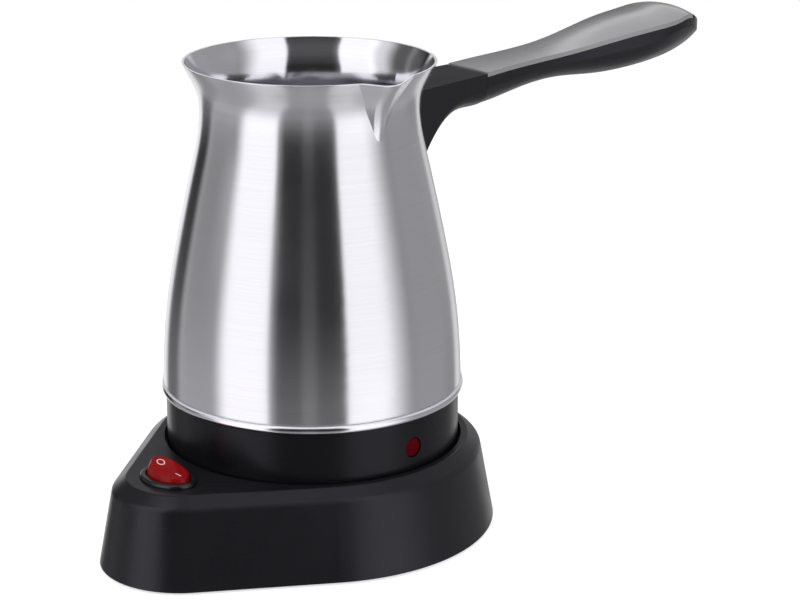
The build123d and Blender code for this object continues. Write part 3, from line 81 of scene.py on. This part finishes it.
def place(tree, kind, **sockets):
    """Add a shader node and put its inputs by name."""
    node = tree.nodes.new(kind)
    for name, value in sockets.items():
        put(tree, node.inputs[name.replace("_", " ")], value)
    return node


def calc(tree, operation, first, second=0.0, third=0.0, clamp=False):
    """Math node; returns its output."""
    node = tree.nodes.new("ShaderNodeMath")
    node.operation = operation
    node.use_clamp = clamp
    for socket, value in zip(node.inputs, (first, second, third)):
        put(tree, socket, value)
    return node.outputs[0]


def vector_calc(tree, operation, first, second=(0.0, 0.0, 0.0)):
    node = tree.nodes.new("ShaderNodeVectorMath")
    node.operation = operation
    put(tree, node.inputs[0], first)
    put(tree, node.inputs[1], second)
    return node.outputs["Value"] if operation in ("DOT_PRODUCT", "LENGTH") else node.outputs["Vector"]


def upward_part(tree, vector):
    return place(tree, "ShaderNodeSeparateXYZ", Vector=vector).outputs["Z"]


def spread(tree, value, from_low, from_high, to_low, to_high, kind="SMOOTHSTEP"):
    """Map a value between two ranges."""
    node = tree.nodes.new("ShaderNodeMapRange")
    node.interpolation_type = kind
    for name, part in zip(("Value", "From Min", "From Max", "To Min", "To Max"),
                          (value, from_low, from_high, to_low, to_high)):
        put(tree, node.inputs[name], part)
    return node.outputs["Result"]


def noise(tree, vector, scale, detail=2.0, roughness=0.5):
    node = place(tree, "ShaderNodeTexNoise", Vector=vector, Scale=scale, Detail=detail, Roughness=roughness)
    return node.outputs["Fac"]


def stretched_noise(tree, vector, stretch, detail, roughness=0.5):
    """Noise with a scale of its own along each axis."""
    return noise(tree, vector_calc(tree, "MULTIPLY", vector, stretch), 1.0, detail, roughness)


def mix_colours(tree, share, first, second):
    node = tree.nodes.new("ShaderNodeMix")
    node.data_type = "RGBA"
    colour_sockets = [socket for socket in node.inputs if socket.type == "RGBA"]
    put(tree, node.inputs["Factor"], share)
    put(tree, colour_sockets[0], first)
    put(tree, colour_sockets[1], second)
    return next(socket for socket in node.outputs if socket.type == "RGBA")


def mix_shaders(tree, share, first, second):
    node = place(tree, "ShaderNodeMixShader", Fac=share)
    tree.links.new(first.outputs[0], node.inputs[1])
    tree.links.new(second.outputs[0], node.inputs[2])
    return node


def solid(colour, factor=1.0):
    """Opaque colour, made darker or lighter by a factor."""
    return tuple(part * factor for part in colour) + (1.0,)


WHITE = (1.0, 1.0, 1.0, 1.0)


def grey(value):
    return (value, value, value, 1.0)


# ---------------------------------------------------------------- surface groups
# Brushing: noise scales along x, y and z, long round the axis and thin up it, and the share of each
FINE_LINES, FINE_SHARE = (22.0, 22.0, 6500.0), 0.8
BROAD_LINES, BROAD_SHARE = (9.0, 9.0, 1300.0), 0.2
FINISH_CLOUDS = 38.0                # scale of the slow change in the finish
WALL_TURNS = 0.2                    # outward part of the normal beyond which a face is outside or inside
LIP_FROM, LIP_FULL = 0.60, 0.72     # upward part of the normal on the cut edge of the sheet

# Moulded plastic: noise scales, and the range of each noise that shows
GRAIN_SIZE = 3600.0
GLOSS_CLOUDS = 45.0
DUST_SPECKS, SPECKS_FROM, SPECKS_FULL = 1500.0, 0.62, 0.74
DUST_PATCHES, PATCHES_FROM, PATCHES_FULL = 60.0, 0.4, 0.7
DUST_LIES_FROM, DUST_LIES_FULL = 0.6, 0.95    # upward part of the normal


def new_group(name, inputs, outputs):
    """Node group of floats: its inputs {name: default} and the names of its outputs."""
    group = bpy.data.node_groups.new(name, "ShaderNodeTree")
    for socket, default in inputs.items():
        made = group.interface.new_socket(socket, in_out="INPUT", socket_type="NodeSocketFloat")
        made.default_value = default
    for socket in outputs:
        group.interface.new_socket(socket, in_out="OUTPUT", socket_type="NodeSocketFloat")
    return group, group.nodes.new("NodeGroupInput").outputs, group.nodes.new("NodeGroupOutput").inputs


def use_group(tree, group, **values):
    node = tree.nodes.new("ShaderNodeGroup")
    node.node_tree = group
    for name, value in values.items():
        put(tree, node.inputs[name.replace("_", " ")], value)
    return node.outputs


def make_brushing():
    """Fine lines round the upright axis; also tells the inside of a wall and the cut edge at its top."""
    group, given, result = new_group("brushing", {"Depth": 1.0}, ("Tone", "Lines", "Inside", "Lip"))
    where = group.nodes.new("ShaderNodeTexCoord").outputs["Object"]
    fine = stretched_noise(group, where, FINE_LINES, 3.0, 0.6)
    broad = stretched_noise(group, where, BROAD_LINES, 2.0)
    both = calc(group, "MULTIPLY_ADD", fine, FINE_SHARE, calc(group, "MULTIPLY", broad, BROAD_SHARE))
    lines = calc(group, "MULTIPLY", calc(group, "SUBTRACT", both, 0.5), given["Depth"])
    group.links.new(lines, result["Lines"])
    group.links.new(noise(group, where, FINISH_CLOUDS), result["Tone"])
    outward = vector_calc(group, "NORMALIZE", vector_calc(group, "MULTIPLY", where, (1.0, 1.0, 0.0)))
    normal = group.nodes.new("ShaderNodeNewGeometry").outputs["Normal"]
    facing = vector_calc(group, "DOT_PRODUCT", normal, outward)
    group.links.new(spread(group, facing, -WALL_TURNS, WALL_TURNS, 1.0, 0.0), result["Inside"])
    upward = upward_part(group, normal)
    group.links.new(spread(group, upward, LIP_FROM, LIP_FULL, 0.0, 1.0), result["Lip"])
    return group


def make_moulded():
    """Moulded plastic: a fine spark-eroded grain, faint uneven gloss and a little dust on upper faces."""
    group, given, result = new_group("moulded", {"Grain size": GRAIN_SIZE}, ("Grain", "Gloss", "Dust"))
    where = group.nodes.new("ShaderNodeTexCoord").outputs["Object"]
    group.links.new(noise(group, where, given["Grain size"], 2.0, 0.55), result["Grain"])
    group.links.new(noise(group, where, GLOSS_CLOUDS, 3.0, 0.6), result["Gloss"])
    upward = upward_part(group, group.nodes.new("ShaderNodeNewGeometry").outputs["Normal"])
    specks = spread(group, noise(group, where, DUST_SPECKS, 2.0, 0.7), SPECKS_FROM, SPECKS_FULL, 0.0, 1.0)
    patches = spread(group, noise(group, where, DUST_PATCHES), PATCHES_FROM, PATCHES_FULL, 0.0, 1.0)
    lies = spread(group, upward, DUST_LIES_FROM, DUST_LIES_FULL, 0.0, 1.0)
    dust = calc(group, "MULTIPLY", calc(group, "MULTIPLY", specks, patches), lies)
    group.links.new(dust, result["Dust"])
    return group


BRUSHING = make_brushing()
MOULDED = make_moulded()

# ---------------------------------------------------------------- finishes
NOISE_LOW, NOISE_HIGH = 0.3, 0.7    # where nearly all of a noise lies
EDGE_SAMPLES = 4
# Swings: how far the roughness wanders below and above its middle, as shares of it
STEEL_CAST = (0.995, 0.982, 1.042)  # faint cool cast of the steel
STEEL_SWING = (0.9, 1.1)
STEEL_EDGE = 0.00035                # radius of softened edges
STEEL_RELIEF, STEEL_DEPTH = 0.06, 0.0001
STREAK_CONTRAST = 2.0
ALONG_THE_LINES = 0.25              # anisotropic rotation, in turns
CUT_EDGE_ROUGH = 0.35               # how much rougher the ground edge of the sheet is
CUT_EDGE_PALE = 0.45                # how much of its shine is scattered
SCRATCHES = (900.0, 4200.0, 900.0)  # noise scales along x, y and z
SCRATCH_RELIEF, SCRATCH_DEPTH = 0.15, 0.0001
METAL_SWING = (0.8, 1.25)
METAL_EDGE = 0.00015
METAL_DARK = 0.82                   # the darker blotches, as a share of the colour
PLASTIC_IOR = 1.5
PLASTIC_SWING = (0.88, 1.12)
GRAIN_DEPTH = 0.00006
COAT_ROUGH = 0.08
RED_GRAIN, RED_RELIEF, RED_DEPTH = 900.0, 0.04, 0.00005
RED_SWING = (0.85, 1.15)
RED_EDGE = 0.0004
RED_COAT_ROUGH = 0.05
RED_DEEP = 0.6                      # the deeper places, as a share of the colour
GLASS_IOR, GLASS_CLEAR = 1.47, 0.9
GLASS_ROUGH, GLASS_SWING, GLASS_GRAIN = 0.04, (0.5, 1.5), 400.0
GLASS_DEEP, GLASS_PALE = (0.93, 0.90, 0.86, 1.0), (0.98, 0.96, 0.93, 1.0)
COOL = (0.87, 0.85, 1.0)            # cast of what the black plastics mirror


def new_tree(holder):
    """Empty shader tree of a new material or world."""
    holder.use_nodes = True
    holder.node_tree.nodes.clear()
    return holder.node_tree


def close_tree(tree, kind, last):
    """Link the last shader to the tree's output."""
    tree.links.new(last.outputs[0], tree.nodes.new(kind).inputs["Surface"])


def new_material(name):
    material = bpy.data.materials.new(name)
    tree = new_tree(material)
    shader = tree.nodes.new("ShaderNodeBsdfPrincipled")
    close_tree(tree, "ShaderNodeOutputMaterial", shader)
    return material, tree, shader


def fix(shader, **constants):
    """Set sockets of the shader that are the same all over."""
    for name, value in constants.items():
        shader.inputs[name.replace("_", " ")].default_value = value


def uneven(tree, value, middle, swing):
    """Roughness that wanders with a noise."""
    return spread(tree, value, NOISE_LOW, NOISE_HIGH, middle * swing[0], middle * swing[1])


def relief(tree, height, strength, distance, edge):
    """Normal with softened edges and a fine bump over them."""
    soft = place(tree, "ShaderNodeBevel", Radius=edge)
    soft.samples = EDGE_SAMPLES
    node = place(tree, "ShaderNodeBump", Strength=strength, Distance=distance, Height=height,
                 Normal=soft.outputs[0])
    return node.outputs[0]


def dress_shader(tree, shader, **sockets):
    """Link what changes over the surface."""
    for name, value in sockets.items():
        put(tree, shader.inputs[name.replace("_", " ")], value)


def turned_steel(name, tone, roughness, depth, streaks=0.06, anisotropic=0.85, inside=1.0):
    """Steel brushed round the upright axis; inside is how rough the inside is, as a share of the outside."""
    material, tree, shader = new_material(name)
    brushed = use_group(tree, BRUSHING, Depth=depth)
    dark, light = (solid(STEEL_CAST, tone * factor) for factor in (1 - streaks, 1 + 0.5 * streaks))
    share = calc(tree, "MULTIPLY_ADD", brushed["Lines"], STREAK_CONTRAST, 0.5, clamp=True)
    rough = uneven(tree, brushed["Tone"], roughness, STEEL_SWING)
    smooth = calc(tree, "MULTIPLY", rough, spread(tree, brushed["Inside"], 0.0, 1.0, 1.0, inside, "LINEAR"))
    dress_shader(
        tree, shader,
        Base_Color=mix_colours(tree, share, dark, light),
        Roughness=calc(tree, "MULTIPLY_ADD", brushed["Lip"], CUT_EDGE_ROUGH, smooth),
        Metallic=calc(tree, "MULTIPLY_ADD", brushed["Lip"], -CUT_EDGE_PALE, 1.0),
        Normal=relief(tree, brushed["Lines"], STEEL_RELIEF, STEEL_DEPTH, STEEL_EDGE),
    )
    fix(shader, Anisotropic=anisotropic, Anisotropic_Rotation=ALONG_THE_LINES)
    tangent = tree.nodes.new("ShaderNodeTangent")
    tangent.direction_type = "RADIAL"
    tangent.axis = "Z"
    tree.links.new(tangent.outputs[0], shader.inputs["Tangent"])
    return material


def plain_metal(name, colour, roughness, scale=700.0):
    """Small turned, stamped or cast metal pieces: blotchy plating and fine scratches."""
    material, tree, shader = new_material(name)
    where = tree.nodes.new("ShaderNodeTexCoord").outputs["Object"]
    blotch = noise(tree, where, scale, 3.0, 0.6)
    fine = stretched_noise(tree, where, SCRATCHES, 2.0)
    dress_shader(
        tree, shader,
        Base_Color=mix_colours(tree, blotch, solid(colour, METAL_DARK), solid(colour)),
        Roughness=uneven(tree, blotch, roughness, METAL_SWING),
        Normal=relief(tree, fine, SCRATCH_RELIEF, SCRATCH_DEPTH, METAL_EDGE),
    )
    fix(shader, Metallic=1.0)
    return material


def moulded_plastic(name, colour, roughness, grain=0.25, size=GRAIN_SIZE, coat=0.0, dust=0.02, edge=0.0003,
                    shine=0.5, cast=(1.0, 1.0, 1.0)):
    """Plastic from a mould, grained or polished."""
    material, tree, shader = new_material(name)
    made = use_group(tree, MOULDED, Grain_size=size)
    dusty = solid(min(1.0, part + dust) for part in colour)
    dress_shader(
        tree, shader,
        Base_Color=mix_colours(tree, made["Dust"], solid(colour), dusty),
        Roughness=uneven(tree, made["Gloss"], roughness, PLASTIC_SWING),
        Normal=relief(tree, made["Grain"], grain, GRAIN_DEPTH, edge),
    )
    fix(shader, IOR=PLASTIC_IOR, Specular_IOR_Level=shine, Specular_Tint=solid(cast), Coat_Weight=coat,
        Coat_Roughness=COAT_ROUGH)
    return material


def red_translucent(name, colour, roughness, coat, shine):
    """Tinted clear plastic with a polished skin: light runs a little way into it."""
    material, tree, shader = new_material(name)
    made = use_group(tree, MOULDED, Grain_size=RED_GRAIN)
    dress_shader(
        tree, shader,
        Base_Color=mix_colours(tree, made["Gloss"], solid(colour, RED_DEEP), solid(colour)),
        Roughness=uneven(tree, made["Gloss"], roughness, RED_SWING),
        Normal=relief(tree, made["Grain"], RED_RELIEF, RED_DEPTH, RED_EDGE),
    )
    fix(shader, Subsurface_Weight=0.35, Subsurface_Radius=(1.0, 0.12, 0.1), Subsurface_Scale=0.002,
        IOR=PLASTIC_IOR, Specular_IOR_Level=shine, Coat_Weight=coat, Coat_Roughness=RED_COAT_ROUGH)
    return material


def clear_glass(name):
    material, tree, shader = new_material(name)
    made = use_group(tree, MOULDED, Grain_size=GLASS_GRAIN)
    dress_shader(
        tree, shader,
        Base_Color=mix_colours(tree, made["Gloss"], GLASS_DEEP, GLASS_PALE),
        Roughness=uneven(tree, made["Gloss"], GLASS_ROUGH, GLASS_SWING),
    )
    fix(shader, Transmission_Weight=GLASS_CLEAR, IOR=GLASS_IOR)
    return material


# Finishes: name, kind and its values
FINISH_ROWS = (
    ("pot_steel", turned_steel, dict(tone=0.80, roughness=0.20, depth=1.0, inside=0.55)),
    ("bright_steel", turned_steel, dict(tone=0.84, roughness=0.16, depth=0.5, streaks=0.05, anisotropic=0.6)),
    ("screw_steel", plain_metal, dict(colour=(0.62, 0.62, 0.63), roughness=0.32)),
    ("contact_brass", plain_metal, dict(colour=(0.80, 0.58, 0.28), roughness=0.28)),
    ("spreader_aluminium", plain_metal, dict(colour=(0.76, 0.77, 0.78), roughness=0.45, scale=260.0)),
    ("black_plastic", moulded_plastic,
     dict(colour=(0.0060, 0.0058, 0.0072), roughness=0.30, shine=0.38, cast=COOL)),
    # The black plastic again, a little smoother, with a darker colour and weaker shine as painted shade on the
    # collar
    ("black_collar", moulded_plastic,
     dict(colour=(0.0038, 0.0036, 0.0045), roughness=0.27, shine=0.22, cast=COOL)),
    ("black_gloss", moulded_plastic,
     dict(colour=(0.0055, 0.0053, 0.0062), roughness=0.24, grain=0.08, size=1400.0, coat=0.2)),
    ("grey_gloss", moulded_plastic,
     dict(colour=(0.20, 0.20, 0.207), roughness=0.20, grain=0.05, size=1200.0, coat=0.5, dust=0.01)),
    ("red_plastic", red_translucent, dict(colour=(0.215, 0.003, 0.005), roughness=0.20, coat=0.06, shine=0.14)),
    ("red_lens", red_translucent, dict(colour=(0.078, 0.0004, 0.003), roughness=0.25, coat=0.0, shine=0.02)),
    ("lamp_glass", clear_glass, {}),
    ("black_rubber", moulded_plastic,
     dict(colour=(0.022, 0.022, 0.022), roughness=0.72, grain=0.5, size=2600.0, dust=0.03)),
    ("seal_silicone", moulded_plastic, dict(colour=(0.30, 0.06, 0.04), roughness=0.55, grain=0.2, size=2600.0)),
    ("wire_sleeve", moulded_plastic, dict(colour=(0.62, 0.62, 0.58), roughness=0.6, grain=0.5, size=2800.0)),
)
# The collar and bottom cover take the darker copy of the black plastic, which is painted shade
OWN_FINISH = {"collar": "black_collar", "bottom_cover": "black_collar"}    # nodes with a finish of their own


def dress_nodes():
    finishes = {name: make(name, **values) for name, make, values in FINISH_ROWS}
    for row in frame["record"]["subparts"]:
        node = nodes[row["node"]]
        node.data.materials.clear()
        node.data.materials.append(finishes[OWN_FINISH.get(row["node"], row["material_slot"])])


# ---------------------------------------------------------------- printed marks on the rocker
PRINT_PROUD, PRINT_SUNK = 0.00006, 0.00012    # how far the print stands out and goes in
ROCKER_TILT = math.radians(13.0)              # of the rocker at rest, from level
ROCKER_LOOK_FROM = 0.02                       # height above its hinge from which its top is found
O_PLACE, O_OUTER, O_INNER = (0.0, 0.0044), 0.00136, 0.00102
O_STEPS, O_RINGS = 40, 3
I_PLACE, I_LONG, I_WIDE = (0.0, -0.0040), 0.0026, 0.00034
I_STEPS = 8


def on_rocker(x, y):
    """Point of the rocker's top and its normal, from a place in the rocker's own level frame."""
    rocker = nodes["rocker"]
    hinge = Vector(joints["rocker_press"]["pos_m"])
    home = Matrix.Translation(hinge) @ Matrix.Rotation(ROCKER_TILT, 4, "X")
    above = home @ Vector((x, y, ROCKER_LOOK_FROM))
    down = home.to_3x3() @ Vector((0.0, 0.0, -1.0))
    hit, spot, normal, _ = rocker.ray_cast(rocker.matrix_world.inverted() @ above, down)
    assert hit, "a mark lies beside the rocker"
    return spot, normal


def add_mesh(name, mesh):
    """New object from a bmesh, which is freed."""
    data = bpy.data.meshes.new(name)
    mesh.to_mesh(data)
    mesh.free()
    return add_object(name, data)


def printed(name, rows, material, closed):
    """Thin inlay whose upper skin follows the rocker: rows of points side by side, each row closed or open."""
    mesh = bmesh.new()
    upper, lower = [], []
    for row in rows:
        spots = [on_rocker(x, y) for x, y in row]
        top_row, low_row = [], []
        for spot, normal in spots:
            top_row.append(mesh.verts.new(spot + normal * PRINT_PROUD))
            low_row.append(mesh.verts.new(spot - normal * PRINT_SUNK))
        upper.append(top_row)
        lower.append(low_row)
    count, last = len(rows[0]), len(rows) - 1
    pairs = [(i, (i + 1) % count) for i in range(count if closed else count - 1)]
    for r in range(last):
        for i, j in pairs:
            mesh.faces.new((upper[r][i], upper[r][j], upper[r + 1][j], upper[r + 1][i]))
            mesh.faces.new((lower[r][j], lower[r][i], lower[r + 1][i], lower[r + 1][j]))
    for r in (0, last):
        for i, j in pairs:
            mesh.faces.new((upper[r][j], upper[r][i], lower[r][i], lower[r][j]))
    if not closed:
        for i in (0, count - 1):
            for r in range(last):
                mesh.faces.new((upper[r][i], upper[r + 1][i], lower[r + 1][i], lower[r][i]))
    bmesh.ops.recalc_face_normals(mesh, faces=mesh.faces)
    piece = add_mesh(name, mesh)
    piece.data.materials.append(material)
    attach(piece, "rocker")


def make_marks():
    white = moulded_plastic("mark_white", (0.66, 0.47, 0.47), 0.4, 0.1, 2400.0)
    around = [2 * math.pi * i / O_STEPS for i in range(O_STEPS)]
    radii = [O_OUTER + (O_INNER - O_OUTER) * i / O_RINGS for i in range(O_RINGS + 1)]
    rings = [[(O_PLACE[0] + r * math.cos(a), O_PLACE[1] + r * math.sin(a)) for a in around] for r in radii]
    printed("mark_off", rings, white, True)
    along = [I_PLACE[1] + I_LONG * (i / I_STEPS - 0.5) for i in range(I_STEPS + 1)]
    rows = [[(I_PLACE[0] + side * I_WIDE / 2, y) for y in along] for side in (1, 0, -1)]
    printed("mark_on", rows, white, False)


# ---------------------------------------------------------------- studio
# Light round the object as bands of azimuth, in degrees on from LIGHT_FROM: where a band's light begins, is
# full, starts to fall and is gone, and its brightness near the table, level with the object and above it.
LIGHT_FROM = 45.0
BANDS = (
    (6.0, 14.0, 27.0, 37.0, 0.75, 1.00, 0.10),
    (36.0, 42.0, 52.0, 57.0, 0.00, 0.00, 0.11),
    (52.0, 57.0, 61.0, 68.0, 0.06, 0.08, 0.12),
    (54.0, 62.0, 148.0, 156.0, 0.24, 0.27, 0.09),
    (78.0, 98.0, 98.0, 118.0, 0.00, 0.00, 0.72),
    (99.0, 114.0, 146.3, 149.3, 0.90, 0.94, 1.10),
    (171.0, 176.0, 182.0, 188.0, 0.08, 0.06, 0.00),
    (206.0, 209.5, 236.0, 267.0, 1.10, 1.12, 1.15),
    (240.0, 272.0, 300.0, 312.0, 0.18, 0.31, 0.34),
    (300.0, 312.0, 322.0, 330.0, 0.12, 0.33, 0.36),
    (322.0, 330.0, 336.0, 346.0, 0.62, 0.60, 0.30),
    (336.0, 346.0, 350.0, 359.0, 0.32, 0.30, 0.10),
)
LOW_FROM, LOW_TO = -0.05, -0.32     # upward part of the direction at which light counts as near the table
HIGH_FROM, HIGH_TO = 0.05, 0.30     # and as above the object
SHADE = 0.022                       # brightness between the bands
# What comes up from the table: upward parts between which it grows, and how much it adds
TABLE_STEPS = ((-0.06, -0.30, 0.14), (-0.37, -0.46, 0.12), (-0.78, -0.92, 0.12))
# Where the bands fade into the table, in the same way, and the share that each step leaves
TABLE_HIDES = ((-0.34, -0.75, 0.37), (-0.88, -0.95, 0.0))
# What comes down from overhead
HIGH_STEPS = ((0.40, 0.52, 0.030), (0.58, 0.70, 0.050), (0.76, 0.90, 0.025))
# High light behind the object: half width and soft edge in degrees, and steps of change in brightness
BACK_WIDE, BACK_SOFT = 14.0, 10.0
BACK_STEPS = ((0.33, 0.36, 0.25), (0.37, 0.42, 0.60), (0.47, 0.55, -0.40), (0.58, 0.66, -0.25))
FILL = 0.55                         # even light for everything that isn't mirrored


def mirrored_light(tree):
    """Brightness of the studio in each direction, as polished faces see it."""
    toward = tree.nodes.new("ShaderNodeTexCoord").outputs["Generated"]
    axes = place(tree, "ShaderNodeSeparateXYZ", Vector=toward).outputs
    angle = calc(tree, "MULTIPLY", calc(tree, "ARCTAN2", axes["Y"], axes["X"]), math.degrees(1.0))
    turn = calc(tree, "FLOORED_MODULO", calc(tree, "SUBTRACT", angle, LIGHT_FROM), 360.0)
    height = axes["Z"]
    low = spread(tree, height, LOW_TO, LOW_FROM, 1.0, 0.0)
    high = spread(tree, height, HIGH_FROM, HIGH_TO, 0.0, 1.0)
    light = 0.0
    for begin, full, fall, gone, near, level, above in BANDS:
        strength = calc(tree, "MULTIPLY_ADD", low, near - level, level)
        strength = calc(tree, "MULTIPLY_ADD", high, above - level, strength)
        rise = calc(tree, "MULTIPLY", strength, spread(tree, turn, begin, full, 0.0, 1.0))
        light = calc(tree, "MULTIPLY_ADD", rise, spread(tree, turn, fall, gone, 1.0, 0.0), light)
    for begin, full, left in TABLE_HIDES:
        light = calc(tree, "MULTIPLY", light, spread(tree, height, full, begin, left, 1.0))
    light = calc(tree, "ADD", light, SHADE)
    for begin, full, glow in TABLE_STEPS:
        light = calc(tree, "ADD", light, spread(tree, height, full, begin, glow, 0.0))
    off_back = calc(tree, "PINGPONG", turn, 180.0)
    behind = spread(tree, off_back, BACK_WIDE, BACK_WIDE + BACK_SOFT, 1.0, 0.0)
    for begin, full, change in BACK_STEPS:
        light = calc(tree, "MULTIPLY_ADD", behind, spread(tree, height, begin, full, 0.0, change), light)
    for begin, full, glow in HIGH_STEPS:
        light = calc(tree, "ADD", light, spread(tree, height, begin, full, 0.0, glow))
    return light


def make_world():
    """White to the camera and through clear pieces, bands of light in polished faces, and an even fill."""
    world = bpy.data.worlds.new("studio")
    bpy.context.scene.world = world
    tree = new_tree(world)
    glossy, plain, fill = (place(tree, "ShaderNodeBackground", Color=WHITE, Strength=strength)
                           for strength in (mirrored_light(tree), 1.0, FILL))
    ray = tree.nodes.new("ShaderNodeLightPath").outputs
    bright = calc(tree, "ADD", ray["Is Camera Ray"], ray["Is Transmission Ray"], clamp=True)
    lit = mix_shaders(tree, ray["Is Glossy Ray"], fill, glossy)
    close_tree(tree, "ShaderNodeOutputWorld", mix_shaders(tree, bright, lit, plain))


FLOOR_R, FLOOR_SIDES = 2.5, 64
FLOOR_PAPER, FLOOR_GLOW = 0.40, 0.66    # the part that holds the shadow, and the light added to it
FLOOR_FADES, FLOOR_GONE = 0.5, 1.1      # distances from the object


def make_floor():
    """Pale floor that holds the shadow, fades out far away, doesn't show in polished faces and hides nothing
    from below."""
    mesh = bmesh.new()
    bmesh.ops.create_circle(mesh, cap_ends=True, segments=FLOOR_SIDES, radius=FLOOR_R)
    floor = add_mesh("floor", mesh)
    material = bpy.data.materials.new("floor")
    tree = new_tree(material)
    away = vector_calc(tree, "LENGTH", tree.nodes.new("ShaderNodeTexCoord").outputs["Object"])
    ray = tree.nodes.new("ShaderNodeLightPath").outputs
    lit = tree.nodes.new("ShaderNodeAddShader")
    paper = place(tree, "ShaderNodeBsdfDiffuse", Color=grey(FLOOR_PAPER))
    glow = place(tree, "ShaderNodeEmission", Color=WHITE, Strength=FLOOR_GLOW)
    for part, socket in zip((paper, glow), lit.inputs):
        tree.links.new(part.outputs[0], socket)
    to_eye = tree.nodes.new("ShaderNodeNewGeometry").outputs["Incoming"]
    unseen = calc(tree, "LESS_THAN", upward_part(tree, to_eye), 0.0)
    for other in (ray["Is Glossy Ray"], ray["Is Transmission Ray"],
                  spread(tree, away, FLOOR_FADES, FLOOR_GONE, 0.0, 1.0)):
        unseen = calc(tree, "MAXIMUM", unseen, other)
    clear = tree.nodes.new("ShaderNodeBsdfTransparent")
    close_tree(tree, "ShaderNodeOutputMaterial", mix_shaders(tree, unseen, lit, clear))
    floor.data.materials.append(material)


# Area lamps, aimed at the object and not seen in polished faces: name, place, size and watts
LAMPS = (
    ("lamp_left", (-0.9, 0.15, 0.9), 0.8, 9.0),
    ("lamp_front", (-0.1, -1.0, 0.8), 0.8, 7.0),
    ("lamp_top", (0.2, 0.2, 1.2), 0.9, 8.0),
)
LAMPS_AIM = Vector((0, 0, 0.07))


def make_lamps():
    for name, spot, size, watts in LAMPS:
        data = bpy.data.lights.new(name, "AREA")
        data.shape = "SQUARE"
        data.size = size
        data.energy = watts
        lamp = add_object(name, data)
        lamp.location = spot
        lamp.rotation_mode = "QUATERNION"
        lamp.rotation_quaternion = (LAMPS_AIM - Vector(spot)).to_track_quat("-Z", "Y")
        lamp.visible_glossy = False


# ---------------------------------------------------------------- everything
make_camera()
dress_nodes()
make_marks()
make_world()
make_floor()
make_lamps()
bpy.context.scene.view_settings.view_transform = "Standard"
